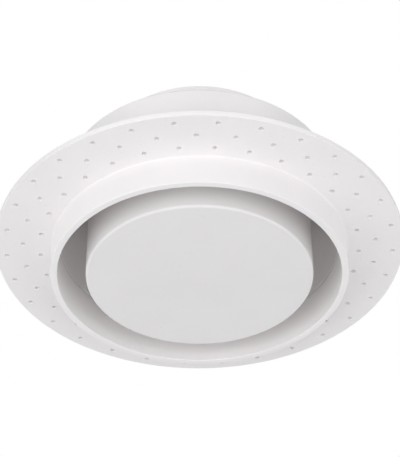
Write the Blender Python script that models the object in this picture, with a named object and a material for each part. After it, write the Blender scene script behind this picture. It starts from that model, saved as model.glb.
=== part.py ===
"""Trimless ceiling air diffuser with a screw-adjusted central plug.

A perforated flange is filled over on the ceiling board, and only its collar and the plug
inside it stay in sight. Behind the flange a round housing narrows to a duct spigot. A
bridge across the spigot holds a threaded bush, and the plug hangs in it on a spindle:
turning the plug screws it in towards the housing's rear plate, which closes the air way.

Frame: +Z is up into the ceiling and is the axis of every round piece. The origin is the
centre of the flange's back face, which seats on the ceiling board.
"""

import math

import bmesh
import bpy
from mathutils import Matrix

MM = 0.001

# Fits and clearances
FACE_GAP = 0.3 * MM
SLIDE_GAP = 0.3 * MM
THREAD_GAP = 0.35 * MM
SCREW_GAP = 0.35 * MM
TIP_COVER = 0.4 * MM
STOP_GAP = 0.3 * MM

# Facets round each turned piece
RING_STEPS = 48
SMALL_STEPS = 24
THREAD_STEPS = 18
SCREW_STEPS = 10
HOLE_STEPS = 8
PERFORATION_STEPS = 6
FILLET_STEPS = 3
SHARP_ANGLE = math.radians(35)

# Flange and collar
COLLAR_OUTER_DIAMETER = 181 * MM
FLANGE_WIDTH = 34.5 * MM
FLANGE_THICKNESS = 3.5 * MM
COLLAR_WALL = 4 * MM
COLLAR_HEIGHT = 20 * MM
BORE_STRAIGHT = 14.5 * MM
SOCKET_WALL = 2.5 * MM
SOCKET_DEPTH = 12 * MM

# Perforations that key the filler: rings counted inwards from the flange's edge
HOLE_DIAMETER = 3 * MM
HOLES_PER_RING = 30
HOLE_RINGS = 3
HOLE_EDGE_MARGIN = 6.5 * MM
HOLE_RING_PITCH = 10.4 * MM

# Housing: a cup behind the flange, with the valve seat as its rear plate
THROAT_TAPER = 5.2 * MM
HOUSING_WALL = 2.2 * MM
HOUSING_REAR = 56 * MM
HOUSING_REAR_THICKNESS = 2.5 * MM
HOUSING_EDGE_RADIUS = 1.6 * MM
HOUSING_GASKET_THICKNESS = 1 * MM
HOUSING_SCREWS = 4
HOUSING_SCREW_HEIGHT = 7 * MM
SEAT_OPENING_MARGIN = 1 * MM

# Spigot for the duct
SPIGOT_DIAMETER = 122 * MM
SPIGOT_WALL = 2.5 * MM
SPIGOT_LENGTH = 22.7 * MM
SPIGOT_FLANGE_WIDTH = 13 * MM
SPIGOT_FLANGE_THICKNESS = 2.5 * MM
SPIGOT_GASKET_THICKNESS = 1 * MM
SPIGOT_SCREWS = 6
DUCT_SEAL_HEIGHT = 4.4 * MM
DUCT_SEAL_GROOVE = 0.8 * MM
DUCT_SEAL_LIP = 2.5 * MM
DUCT_SEAL_LIP_THICKNESS = 0.9 * MM
DUCT_SEAL_ABOVE_FLANGE = 5 * MM

# Bridge across the spigot's mouth
BRIDGE_ARMS = 3
BRIDGE_FIRST_ARM = math.radians(90)
ARM_WIDTH = 5 * MM
ARM_HEIGHT = 7 * MM
PAD_WIDTH = 10 * MM
PAD_LENGTH = 9 * MM
PAD_THICKNESS = 3 * MM
ARM_OVERLAP = 1.5 * MM
ARM_SINK = 1 * MM
TAB_MARGIN = 1 * MM
HUB_WALL = 2.8 * MM
HUB_HEIGHT = 11.5 * MM

# Spindle thread, round-profiled as moulded threads are, and its bush
THREAD_DIAMETER = 12 * MM
THREAD_PITCH = 4 * MM
THREAD_DEPTH = 1 * MM
THREAD_SAMPLES = 4
BUSH_WALL = 2.2 * MM
BUSH_FLANGE_THICKNESS = 1.5 * MM
BUSH_FLANGE_WIDTH = 2.4 * MM
BUSH_ABOVE_HUB = 0.4 * MM

# Plug
AIR_GAP = 17.25 * MM
PLUG_HEIGHT = 46 * MM
PLUG_FACE_THICKNESS = 2.5 * MM
PLUG_WALL = 2.2 * MM
PLUG_EDGE_RADIUS = 0.8 * MM
PLUG_BACK_THICKNESS = 2.5 * MM
PLUG_SCREWS = 4
PLUG_POST_DIAMETER = 8 * MM
PLUG_POST_INSET = 10 * MM
PLUG_PILOT_DEPTH = 10 * MM
WELL_CLEARANCE = 3.4 * MM
WELL_WALL = 2 * MM
WELL_DEPTH = 19.5 * MM
PLUG_SEAL_WIDTH = 7 * MM
PLUG_SEAL_THICKNESS = 4 * MM

# Spindle fixing, thrust washer, spring and end stop
FOOT_SHOULDER = 0.5 * MM
FOOT_HEIGHT = 2.2 * MM
FOOT_SOCKET_WALL = 2.2 * MM
FOOT_SCREW_DEPTH = 10 * MM
WASHER_THICKNESS = 0.8 * MM
THRUST_WASHER_THICKNESS = 1.8 * MM
THRUST_WASHER_WIDTH = 5 * MM
SPRING_WIRE = 1.1 * MM
SPRING_CLEARANCE = 2.85 * MM
SPRING_COILS = 8
SPRING_STEPS_PER_COIL = 12
OUTWARD_TRAVEL = 5 * MM
CLIP_WALL = 2.2 * MM
CLIP_THICKNESS = 1 * MM
CLIP_GROOVE = 1.2 * MM
SPINDLE_END_LENGTH = 1.2 * MM

# Screws: (head diameter, head height, shank diameter)
SMALL_SCREW = (4.6 * MM, 1.9 * MM, 2.5 * MM)
FOOT_SCREW = (7 * MM, 2.5 * MM, 3.4 * MM)

# Radii and heights that follow from the sizes above
COLLAR_OUTER = COLLAR_OUTER_DIAMETER / 2
COLLAR_INNER = COLLAR_OUTER - COLLAR_WALL
FLANGE_RADIUS = COLLAR_OUTER + FLANGE_WIDTH
FACE_LEVEL = -FLANGE_THICKNESS
RIM_LEVEL = FACE_LEVEL - COLLAR_HEIGHT

HOUSING_INNER = COLLAR_INNER - THROAT_TAPER
HOUSING_OUTER = HOUSING_INNER + HOUSING_WALL
HOUSING_FRONT = HOUSING_GASKET_THICKNESS + 2 * FACE_GAP
SEAT_LEVEL = HOUSING_REAR - HOUSING_REAR_THICKNESS
TAPER_START = RIM_LEVEL + BORE_STRAIGHT
TAPER_SLOPE = THROAT_TAPER / (SEAT_LEVEL - TAPER_START)
BOARD_BORE = COLLAR_INNER + TAPER_SLOPE * TAPER_START
HOUSING_FRONT_INNER = BOARD_BORE - TAPER_SLOPE * HOUSING_FRONT
HOUSING_FRONT_OUTER = HOUSING_FRONT_INNER + HOUSING_WALL
HOUSING_SCREW_INNER = BOARD_BORE - TAPER_SLOPE * HOUSING_SCREW_HEIGHT
SOCKET_INNER = HOUSING_FRONT_OUTER + SLIDE_GAP
SOCKET_OUTER = SOCKET_INNER + SOCKET_WALL

SPIGOT_OUTER = SPIGOT_DIAMETER / 2
SPIGOT_INNER = SPIGOT_OUTER - SPIGOT_WALL
SPIGOT_FRONT = HOUSING_REAR + SPIGOT_GASKET_THICKNESS + 2 * FACE_GAP
SPIGOT_END = SPIGOT_FRONT + SPIGOT_LENGTH
SPIGOT_FLANGE_RADIUS = SPIGOT_OUTER + SPIGOT_FLANGE_WIDTH
SEAT_OPENING = SPIGOT_INNER + SEAT_OPENING_MARGIN
SPIGOT_SCREW_RADIUS = (SPIGOT_OUTER + SPIGOT_FLANGE_RADIUS) / 2

THREAD_RADIUS = THREAD_DIAMETER / 2
BUSH_BORE = THREAD_RADIUS + THREAD_GAP
BUSH_OUTER = BUSH_BORE + BUSH_WALL
HUB_BORE = BUSH_OUTER + SLIDE_GAP
HUB_OUTER = HUB_BORE + HUB_WALL

PAD_LEVEL = HOUSING_REAR + FACE_GAP
PAD_TOP = PAD_LEVEL + PAD_THICKNESS
PAD_OUTER = SPIGOT_INNER - 2 * SLIDE_GAP
PAD_CENTRE = PAD_OUTER - PAD_LENGTH / 2
HUB_BOTTOM = PAD_TOP - ARM_SINK
HUB_TOP = HUB_BOTTOM + HUB_HEIGHT
BUSH_BOTTOM = HUB_BOTTOM - FACE_GAP - BUSH_FLANGE_THICKNESS
BUSH_TOP = HUB_TOP + BUSH_ABOVE_HUB

PLUG_RADIUS = COLLAR_INNER - AIR_GAP
PLUG_INNER = PLUG_RADIUS - PLUG_WALL
PLUG_FACE = RIM_LEVEL
PLUG_FLOOR = PLUG_FACE + PLUG_FACE_THICKNESS
PLUG_TOP = PLUG_FACE + PLUG_HEIGHT
PLUG_BACK_BOTTOM = PLUG_TOP - PLUG_BACK_THICKNESS
PLUG_POST_RADIUS = PLUG_INNER - PLUG_POST_INSET
PLUG_SEAL_BOTTOM = PLUG_TOP + FACE_GAP
WELL_FLOOR_TOP = PLUG_TOP - WELL_DEPTH
WELL_FLOOR_BOTTOM = WELL_FLOOR_TOP - WELL_WALL

FOOT_BOTTOM = WELL_FLOOR_TOP + FACE_GAP
FOOT_TOP = FOOT_BOTTOM + FOOT_HEIGHT
FOOT_CORNER = (THREAD_RADIUS + FOOT_SHOULDER) * 2 / math.sqrt(3)
FOOT_SOCKET_RADIUS = FOOT_CORNER + FOOT_SOCKET_WALL
FOOT_SOCKET_TOP = FOOT_TOP + FACE_GAP
THRUST_BOTTOM = FOOT_SOCKET_TOP + FACE_GAP
THRUST_TOP = THRUST_BOTTOM + THRUST_WASHER_THICKNESS
THRUST_INNER = THREAD_RADIUS + 2 * SLIDE_GAP
THRUST_OUTER = THRUST_INNER + THRUST_WASHER_WIDTH
WELL_INNER = THRUST_OUTER + WELL_CLEARANCE
WELL_OUTER = WELL_INNER + WELL_WALL
THREAD_START = THRUST_TOP + SLIDE_GAP
SPRING_BOTTOM = THRUST_TOP + FACE_GAP
SPRING_TOP = BUSH_BOTTOM - FACE_GAP
SPRING_RADIUS = THREAD_RADIUS + SPRING_CLEARANCE + SPRING_WIRE / 2

STOP_BOTTOM = BUSH_TOP + OUTWARD_TRAVEL + STOP_GAP
STOP_TOP = STOP_BOTTOM + WASHER_THICKNESS
CLIP_BOTTOM = STOP_TOP + FACE_GAP
CLIP_TOP = CLIP_BOTTOM + CLIP_THICKNESS
CLIP_INNER = THREAD_RADIUS - CLIP_GROOVE + SLIDE_GAP
SPINDLE_TOP = CLIP_TOP + SLIDE_GAP + SPINDLE_END_LENGTH


def clear_scene():
    """Removes whatever the scene holds."""
    for obj in list(bpy.data.objects):
        bpy.data.objects.remove(obj, do_unlink=True)


def finish(name, colour, roughness, metallic=0.0):
    """A plain Principled material."""
    material = bpy.data.materials.new(name)
    material.use_nodes = True
    shader = material.node_tree.nodes["Principled BSDF"]
    shader.inputs["Base Color"].default_value = (*colour, 1.0)
    shader.inputs["Roughness"].default_value = roughness
    shader.inputs["Metallic"].default_value = metallic
    return material


def place(mesh_maker, name, material=None, parent=None, matrix=None):
    """Turns a bmesh into a named object, smooth-shaded with sharp edges kept."""
    bmesh.ops.recalc_face_normals(mesh_maker, faces=mesh_maker.faces)
    mesh = bpy.data.meshes.new(name)
    mesh_maker.to_mesh(mesh)
    mesh_maker.free()
    mesh.shade_smooth()
    mesh.set_sharp_from_angle(angle=SHARP_ANGLE)
    if material:
        mesh.materials.append(material)
    obj = bpy.data.objects.new(name, mesh)
    bpy.context.scene.collection.objects.link(obj)
    obj.parent = parent
    if matrix:
        obj.matrix_local = matrix
    return obj


def eased(corners):
    """An outline from (radius, height) corners; a third number rounds that corner."""
    points = []
    for index, corner in enumerate(corners):
        if len(corner) == 2:
            points.append(corner)
            continue
        r, z, fillet = corner
        ends = []
        for near in (corners[index - 1], corners[(index + 1) % len(corners)]):
            dr, dz = near[0] - r, near[1] - z
            length = math.hypot(dr, dz)
            ends.append((r + dr * fillet / length, z + dz * fillet / length))
        for step in range(FILLET_STEPS + 1):
            t = step / FILLET_STEPS
            weights = ((1 - t) ** 2, 2 * t * (1 - t), t**2)
            path = (ends[0], (r, z), ends[1])
            points.append(tuple(sum(w * p[k] for w, p in zip(weights, path)) for k in (0, 1)))
    return points


def spun(outline, steps):
    """A bmesh turned round Z from an outline: open if it starts on the axis, else a ring."""
    bm = bmesh.new()
    verts = [bm.verts.new((r, 0, z)) for r, z in outline]
    edges = [bm.edges.new(pair) for pair in zip(verts, verts[1:])]
    if outline[0][0] > 0:
        edges.append(bm.edges.new((verts[-1], verts[0])))
    bmesh.ops.spin(
        bm, geom=verts + edges, cent=(0, 0, 0), axis=(0, 0, 1),
        angle=math.tau, steps=steps, use_merge=True,
    )
    bmesh.ops.remove_doubles(bm, verts=bm.verts, dist=MM / 1000)
    return bm


def ring(inner, outer, bottom, top):
    """The outline of a plain ring."""
    return [(outer, top), (outer, bottom), (inner, bottom), (inner, top)]


def turned(name, corners, material, steps=RING_STEPS, parent=None):
    """A turned piece from its outline's corners."""
    return place(spun(eased(corners), steps), name, material, parent)


def operand(mesh_maker, name):
    """A hidden shape that a Boolean uses."""
    obj = place(mesh_maker, name)
    obj.hide_render = True
    obj.display_type = "WIRE"
    return obj


def boolean(obj, other, operation):
    """Adds a Boolean modifier to obj."""
    modifier = obj.modifiers.new(other.name, "BOOLEAN")
    modifier.operation = operation
    modifier.object = other
    modifier.solver = "EXACT"


def rods(matrices, radius, low, high, steps):
    """A bmesh of separate cylinders from low to high along each matrix's own Z."""
    bm = bmesh.new()
    off_the_host_edges = Matrix.Rotation(math.pi / steps / 2, 4, "Z")
    middle = Matrix.Translation((0, 0, (low + high) / 2)) @ off_the_host_edges
    for matrix in matrices:
        bmesh.ops.create_cone(
            bm, cap_ends=True, segments=steps, radius1=radius, radius2=radius,
            depth=high - low, matrix=matrix @ middle,
        )
    return bm


def drill(obj, matrices, radius, low, high, steps=HOLE_STEPS):
    """Cuts a round hole along each matrix's own Z, from low to high."""
    cutter = operand(rods(matrices, radius, low, high, steps), obj.name + "_drill")
    boolean(obj, cutter, "DIFFERENCE")


def blocks(angles, start, end, width, bottom, top):
    """A bmesh of separate bars that run outwards from start to end at each angle."""
    bm = bmesh.new()
    for angle in angles:
        sizes = Matrix.Diagonal((end - start, width, top - bottom, 1))
        middle = Matrix.Translation(((start + end) / 2, 0, (bottom + top) / 2))
        turn = Matrix.Rotation(angle, 4, "Z")
        bmesh.ops.create_cube(bm, size=1, matrix=turn @ middle @ sizes)
    return bm


def around(count, radius, height, first=0.0):
    """Upright matrices evenly spaced on a circle."""
    return [
        Matrix.Rotation(first + math.tau * index / count, 4, "Z")
        @ Matrix.Translation((radius, 0, height))
        for index in range(count)
    ]


def outward(count, radius, height, first=0.0):
    """Matrices evenly spaced on a circle whose own Z points away from the axis."""
    lean = Matrix.Rotation(math.pi / 2, 4, "Y")
    return [matrix @ lean for matrix in around(count, radius, height, first)]


def screws(name, sizes, length, matrices, material, parent=None):
    """Pan-head screws, each with its head's underside at its matrix."""
    head_width, head_height, shank = sizes
    head = head_width / 2
    outline = [
        (0, head_height),
        (head * 0.6, head_height),
        (head, head_height * 0.5),
        (head, 0),
        (shank / 2, 0),
        (shank / 2, shank - length),
        (0, -length),
    ]
    for index, matrix in enumerate(matrices, 1):
        bm = spun(outline, SCREW_STEPS)
        label = f"{name}_{index}" if len(matrices) > 1 else name
        place(bm, label, material, parent, matrix)


def thread_depth_at(x, y, z):
    """How far the thread's surface lies inside its crest: a right-hand round thread."""
    turn = math.atan2(y, x) / math.tau
    return THREAD_DEPTH * (0.5 - 0.5 * math.cos(math.tau * (z / THREAD_PITCH - turn)))


def cut_thread(bm, radius, low, high):
    """Sinks the verts on this radius, between two heights, into the thread's profile."""
    for vert in bm.verts:
        x, y, z = vert.co
        if abs(math.hypot(x, y) - radius) < MM / 1000 and low <= z <= high:
            scale = 1 - thread_depth_at(x, y, z) / radius
            vert.co.x *= scale
            vert.co.y *= scale


def thread_levels(low, high):
    """Heights that sample a threaded stretch, from high to low."""
    count = math.ceil((high - low) / THREAD_PITCH * THREAD_SAMPLES)
    return [high - (high - low) * index / count for index in range(count + 1)]


def perforations():
    """Hole places on the flange; every second ring is staggered by half a step."""
    outer = FLANGE_RADIUS - HOLE_EDGE_MARGIN
    toward_front = -math.pi / 2
    half_step = math.tau / HOLES_PER_RING / 2
    places = []
    for index in range(HOLE_RINGS):
        first = toward_front + half_step * ((index + 1) % 2)
        places += around(HOLES_PER_RING, outer - index * HOLE_RING_PITCH, 0, first)
    return places


def mounting_flange(plastic):
    """Perforated flange, collar below it and socket for the housing above it."""
    outline = [
        (FLANGE_RADIUS, 0),
        (FLANGE_RADIUS, FACE_LEVEL),
        (COLLAR_OUTER, FACE_LEVEL),
        (COLLAR_OUTER, RIM_LEVEL),
        (COLLAR_INNER, RIM_LEVEL),
        (COLLAR_INNER, TAPER_START),
        (BOARD_BORE, 0),
        (SOCKET_INNER, 0),
        (SOCKET_INNER, SOCKET_DEPTH),
        (SOCKET_OUTER, SOCKET_DEPTH),
        (SOCKET_OUTER, 0),
    ]
    flange = turned("mounting_flange", outline, plastic)
    reach = 2 * FLANGE_THICKNESS
    drill(flange, perforations(), HOLE_DIAMETER / 2, -reach, reach, PERFORATION_STEPS)
    drill(flange, housing_screw_places(SOCKET_OUTER), SMALL_SCREW[2] / 2 + SCREW_GAP,
          -2 * SOCKET_WALL, SOCKET_WALL)


def housing_screw_places(radius):
    """Radial screw places round the socket."""
    first = math.pi / HOUSING_SCREWS
    return outward(HOUSING_SCREWS, radius, HOUSING_SCREW_HEIGHT, first)


def housing_shell(plastic):
    """Round cup: its rear plate is the plug's seat and carries tabs for the bridge."""
    outline = [
        (HOUSING_OUTER, HOUSING_REAR, HOUSING_EDGE_RADIUS),
        (HOUSING_FRONT_OUTER, HOUSING_FRONT),
        (HOUSING_FRONT_INNER, HOUSING_FRONT),
        (HOUSING_INNER, SEAT_LEVEL),
        (SEAT_OPENING, SEAT_LEVEL),
        (SEAT_OPENING, HOUSING_REAR),
    ]
    shell = turned("housing_shell", outline, plastic)
    tab_start = PAD_OUTER - PAD_LENGTH - TAB_MARGIN
    tabs = blocks(arm_angles(), tab_start, SEAT_OPENING + TAB_MARGIN,
                  PAD_WIDTH + 2 * TAB_MARGIN, SEAT_LEVEL, HOUSING_REAR)
    boolean(shell, operand(tabs, "bridge_tabs"), "UNION")
    pilot = SMALL_SCREW[2] / 2 + SCREW_GAP
    drill(shell, housing_screw_places(HOUSING_FRONT_OUTER), pilot, -2 * HOUSING_WALL,
          HOUSING_WALL)
    holes = around(BRIDGE_ARMS, PAD_CENTRE, HOUSING_REAR, BRIDGE_FIRST_ARM)
    holes += spigot_screw_places(HOUSING_REAR)
    upright = 2 * HOUSING_REAR_THICKNESS
    cutter = operand(rods(holes, pilot, -upright, upright, HOLE_STEPS), "rear_plate_drill")
    boolean(shell, cutter, "DIFFERENCE")


def spigot_screw_places(height):
    """Upright screw places round the spigot's flange."""
    return around(SPIGOT_SCREWS, SPIGOT_SCREW_RADIUS, height, BRIDGE_FIRST_ARM)


def duct_spigot(plastic):
    """Tube for the duct, with a flange that is screwed to the housing."""
    groove_low = SPIGOT_FRONT + SPIGOT_FLANGE_THICKNESS + DUCT_SEAL_ABOVE_FLANGE
    groove_high = groove_low + DUCT_SEAL_HEIGHT + 2 * FACE_GAP
    groove = SPIGOT_OUTER - DUCT_SEAL_GROOVE
    flange_top = SPIGOT_FRONT + SPIGOT_FLANGE_THICKNESS
    outline = [
        (SPIGOT_OUTER, SPIGOT_END),
        (SPIGOT_OUTER, groove_high),
        (groove, groove_high),
        (groove, groove_low),
        (SPIGOT_OUTER, groove_low),
        (SPIGOT_OUTER, flange_top),
        (SPIGOT_FLANGE_RADIUS, flange_top),
        (SPIGOT_FLANGE_RADIUS, SPIGOT_FRONT),
        (SPIGOT_INNER, SPIGOT_FRONT),
        (SPIGOT_INNER, SPIGOT_END),
    ]
    spigot = turned("duct_spigot", outline, plastic)
    reach = 2 * SPIGOT_FLANGE_THICKNESS
    drill(spigot, spigot_screw_places(SPIGOT_FRONT), SMALL_SCREW[2] / 2 + SCREW_GAP,
          -reach, reach)


def duct_seal(rubber):
    """Rubber ring in the spigot's groove with a thin lip that leans on the duct."""
    base = SPIGOT_OUTER - DUCT_SEAL_GROOVE + SLIDE_GAP
    low = SPIGOT_FRONT + SPIGOT_FLANGE_THICKNESS + DUCT_SEAL_ABOVE_FLANGE + FACE_GAP
    high = low + DUCT_SEAL_HEIGHT
    body = SPIGOT_OUTER + FACE_GAP
    lip_top = high - DUCT_SEAL_LIP_THICKNESS
    outline = [
        (body, high),
        (SPIGOT_OUTER + DUCT_SEAL_LIP, low + DUCT_SEAL_LIP_THICKNESS),
        (SPIGOT_OUTER + DUCT_SEAL_LIP, low),
        (body, lip_top - DUCT_SEAL_LIP_THICKNESS),
        (body, low),
        (base, low),
        (base, high),
    ]
    turned("duct_seal", outline, rubber)


def gaskets(foam):
    """Foam rings under the housing's front edge and under the spigot's flange."""
    low = FACE_GAP
    turned("housing_gasket",
           ring(HOUSING_FRONT_INNER + FACE_GAP, HOUSING_FRONT_OUTER, low,
                low + HOUSING_GASKET_THICKNESS), foam)
    low = HOUSING_REAR + FACE_GAP
    gasket = turned("spigot_gasket",
                    ring(SPIGOT_INNER + FACE_GAP, SPIGOT_FLANGE_RADIUS - FACE_GAP, low,
                         low + SPIGOT_GASKET_THICKNESS), foam)
    reach = 2 * SPIGOT_GASKET_THICKNESS
    drill(gasket, spigot_screw_places(low), SMALL_SCREW[2] / 2 + SCREW_GAP, -reach, reach)


def arm_angles():
    """Directions of the bridge's arms."""
    return [BRIDGE_FIRST_ARM + math.tau * index / BRIDGE_ARMS for index in range(BRIDGE_ARMS)]


def bridge(plastic):
    """Hub on radial arms, each ending in a pad that is screwed to a tab of the housing."""
    hub = turned("bridge", ring(HUB_BORE, HUB_OUTER, HUB_BOTTOM, HUB_TOP), plastic, SMALL_STEPS)
    pad_start = PAD_OUTER - PAD_LENGTH
    arm_start = (HUB_BORE + HUB_OUTER) / 2
    arms = blocks(arm_angles(), arm_start, pad_start + ARM_OVERLAP, ARM_WIDTH,
                  HUB_BOTTOM, HUB_BOTTOM + ARM_HEIGHT)
    boolean(hub, operand(arms, "bridge_arms"), "UNION")
    pads = blocks(arm_angles(), pad_start, PAD_OUTER, PAD_WIDTH, PAD_LEVEL, PAD_TOP)
    boolean(hub, operand(pads, "bridge_pads"), "UNION")
    holes = around(BRIDGE_ARMS, PAD_CENTRE, PAD_LEVEL, BRIDGE_FIRST_ARM)
    reach = 2 * PAD_THICKNESS
    drill(hub, holes, SMALL_SCREW[2] / 2 + SCREW_GAP, -reach, reach)


def threaded_bush(acetal):
    """Bush with the internal thread; the spring holds its flange against the hub."""
    flange = BUSH_OUTER + BUSH_FLANGE_WIDTH
    bore = [(BUSH_BORE, z) for z in reversed(thread_levels(BUSH_BOTTOM, BUSH_TOP))]
    outline = [
        (BUSH_OUTER, BUSH_TOP),
        (BUSH_OUTER, HUB_BOTTOM - FACE_GAP),
        (flange, HUB_BOTTOM - FACE_GAP),
        (flange, BUSH_BOTTOM),
        *bore,
    ]
    bm = spun(outline, THREAD_STEPS)
    cut_thread(bm, BUSH_BORE, BUSH_BOTTOM, BUSH_TOP)
    place(bm, "threaded_bush", acetal)


def spring(steel):
    """Compression spring between the bush's flange and the thrust washer."""
    wire = SPRING_WIRE / 2
    curve = bpy.data.curves.new("spring", "CURVE")
    curve.dimensions = "3D"
    curve.bevel_depth = wire
    curve.bevel_resolution = 1
    curve.use_fill_caps = True
    path = curve.splines.new("POLY")
    count = SPRING_COILS * SPRING_STEPS_PER_COIL
    path.points.add(count)
    low, high = SPRING_BOTTOM + wire, SPRING_TOP - wire
    for index, point in enumerate(path.points):
        t = index / count
        angle = math.tau * SPRING_COILS * t
        x, y = SPRING_RADIUS * math.cos(angle), SPRING_RADIUS * math.sin(angle)
        point.co = (x, y, low + (high - low) * t, 1)
    curve.materials.append(steel)
    obj = bpy.data.objects.new("spring", curve)
    bpy.context.scene.collection.objects.link(obj)


def thrust_washer(acetal):
    """Washer that the spring keeps from turning while the plug turns under it."""
    outline = ring(THRUST_INNER, THRUST_OUTER, THRUST_BOTTOM, THRUST_TOP)
    turned("thrust_washer", outline, acetal, SMALL_STEPS)


def plug_cap(plastic, axis):
    """The plug's face and skirt, with posts inside for the back plate's screws."""
    outline = [
        (0, PLUG_FLOOR),
        (PLUG_INNER, PLUG_FLOOR),
        (PLUG_INNER, PLUG_TOP),
        (PLUG_RADIUS, PLUG_TOP),
        (PLUG_RADIUS, PLUG_FACE, PLUG_EDGE_RADIUS),
        (0, PLUG_FACE),
    ]
    cap = turned("plug_cap", outline, plastic, parent=axis)
    post_top = PLUG_BACK_BOTTOM - FACE_GAP
    sunk = PLUG_FLOOR - PLUG_FACE_THICKNESS / 2
    posts = rods(plug_post_places(0), PLUG_POST_DIAMETER / 2, sunk, post_top, SCREW_STEPS)
    boolean(cap, operand(posts, "plug_posts"), "UNION")
    drill(cap, plug_post_places(post_top), SMALL_SCREW[2] / 2 + SCREW_GAP,
          -PLUG_PILOT_DEPTH, PLUG_PILOT_DEPTH)


def plug_post_places(height):
    """Places of the posts and screws inside the plug."""
    return around(PLUG_SCREWS, PLUG_POST_RADIUS, height, math.pi / PLUG_SCREWS)


def plug_back(plastic, axis):
    """Back plate with a well for the spring and a hexagon socket for the spindle."""
    edge = PLUG_INNER - SLIDE_GAP
    hole = FOOT_SCREW[2] / 2 + SCREW_GAP
    outline = [
        (edge, PLUG_TOP),
        (edge, PLUG_BACK_BOTTOM),
        (WELL_OUTER, PLUG_BACK_BOTTOM),
        (WELL_OUTER, WELL_FLOOR_BOTTOM),
        (hole, WELL_FLOOR_BOTTOM),
        (hole, WELL_FLOOR_TOP),
        (FOOT_CORNER - SLIDE_GAP, WELL_FLOOR_TOP),
        (FOOT_CORNER - SLIDE_GAP, FOOT_SOCKET_TOP),
        (FOOT_SOCKET_RADIUS, FOOT_SOCKET_TOP),
        (FOOT_SOCKET_RADIUS, WELL_FLOOR_TOP),
        (WELL_INNER, WELL_FLOOR_TOP),
        (WELL_INNER, PLUG_TOP),
    ]
    back = turned("plug_back", outline, plastic, parent=axis)
    reach = 2 * PLUG_BACK_THICKNESS
    drill(back, plug_post_places(PLUG_TOP), SMALL_SCREW[2] / 2 + SCREW_GAP, -reach, reach)
    corner = FOOT_CORNER + SLIDE_GAP
    hexagon = spun([(0, FOOT_SOCKET_TOP + FOOT_HEIGHT), (corner, FOOT_SOCKET_TOP + FOOT_HEIGHT),
                    (corner, WELL_FLOOR_TOP), (0, WELL_FLOOR_TOP)], 6)
    boolean(back, operand(hexagon, "foot_socket"), "DIFFERENCE")


def spindle(acetal, axis):
    """Threaded spindle with a hexagon foot, a blind screw hole and a clip groove."""
    hole = FOOT_SCREW[2] / 2 + SCREW_GAP
    groove = THREAD_RADIUS - CLIP_GROOVE
    thread_top = STOP_BOTTOM - SLIDE_GAP
    plain = THREAD_RADIUS - THREAD_DEPTH
    outline = [
        (0, SPINDLE_TOP),
        (plain, SPINDLE_TOP),
        (plain, CLIP_TOP + SLIDE_GAP),
        (groove, CLIP_TOP + SLIDE_GAP),
        (groove, CLIP_BOTTOM - SLIDE_GAP),
        (plain, CLIP_BOTTOM - SLIDE_GAP),
        (plain, thread_top),
        *[(THREAD_RADIUS, z) for z in thread_levels(THREAD_START, thread_top)],
        (plain, THREAD_START),
        (plain, FOOT_TOP),
        (FOOT_CORNER, FOOT_TOP),
        (FOOT_CORNER, FOOT_BOTTOM),
        (hole, FOOT_BOTTOM),
        (hole, FOOT_TOP + FOOT_SCREW_DEPTH),
        (0, FOOT_TOP + FOOT_SCREW_DEPTH),
    ]
    bm = spun(outline, THREAD_STEPS)
    cut_thread(bm, THREAD_RADIUS, THREAD_START, thread_top)
    shape_hexagon(bm, FOOT_CORNER)
    place(bm, "spindle", acetal, axis)


def shape_hexagon(bm, corner):
    """Draws the verts on a corner radius in to the sides of a hexagon."""
    side = math.tau / 6
    for vert in bm.verts:
        if abs(math.hypot(vert.co.x, vert.co.y) - corner) > MM / 1000:
            continue
        off = math.atan2(vert.co.y, vert.co.x) % side - side / 2
        scale = math.cos(side / 2) / math.cos(off)
        vert.co.x *= scale
        vert.co.y *= scale


def spindle_fixings(steel, axis):
    """Screw and washer under the well's floor, stop washer and clip at the spindle's top."""
    shank = FOOT_SCREW[2] / 2 + SCREW_GAP
    washer_top = WELL_FLOOR_BOTTOM - FACE_GAP
    washer_bottom = washer_top - WASHER_THICKNESS
    head_seat = washer_bottom - FACE_GAP
    turned("spindle_washer", ring(shank, FOOT_CORNER, washer_bottom, washer_top), steel,
           SMALL_STEPS, axis)
    length = FOOT_TOP + FOOT_SCREW_DEPTH - TIP_COVER - head_seat
    upside_down = Matrix.Translation((0, 0, head_seat)) @ Matrix.Rotation(math.pi, 4, "X")
    screws("spindle_screw", FOOT_SCREW, length, [upside_down], steel, axis)
    inner = THREAD_RADIUS - THREAD_DEPTH + SLIDE_GAP
    turned("stop_washer", ring(inner, BUSH_OUTER, STOP_BOTTOM, STOP_TOP), steel,
           SMALL_STEPS, axis)
    clip = ring(CLIP_INNER, THREAD_RADIUS + CLIP_WALL, CLIP_BOTTOM, CLIP_TOP)
    piece = turned("retaining_clip", clip, steel, SMALL_STEPS, axis)
    mouth = blocks([0], CLIP_INNER / 2, THREAD_RADIUS + 2 * CLIP_WALL, CLIP_INNER,
                   CLIP_BOTTOM - MM, CLIP_TOP + MM)
    boolean(piece, operand(mouth, "clip_mouth"), "DIFFERENCE")


def plug_seal(foam, axis):
    """Foam ring on the plug's back edge that closes on the housing's rear plate."""
    outer = PLUG_INNER - SLIDE_GAP
    outline = ring(outer - PLUG_SEAL_WIDTH, outer, PLUG_SEAL_BOTTOM,
                   PLUG_SEAL_BOTTOM + PLUG_SEAL_THICKNESS)
    turned("plug_seal", outline, foam, parent=axis)


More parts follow.
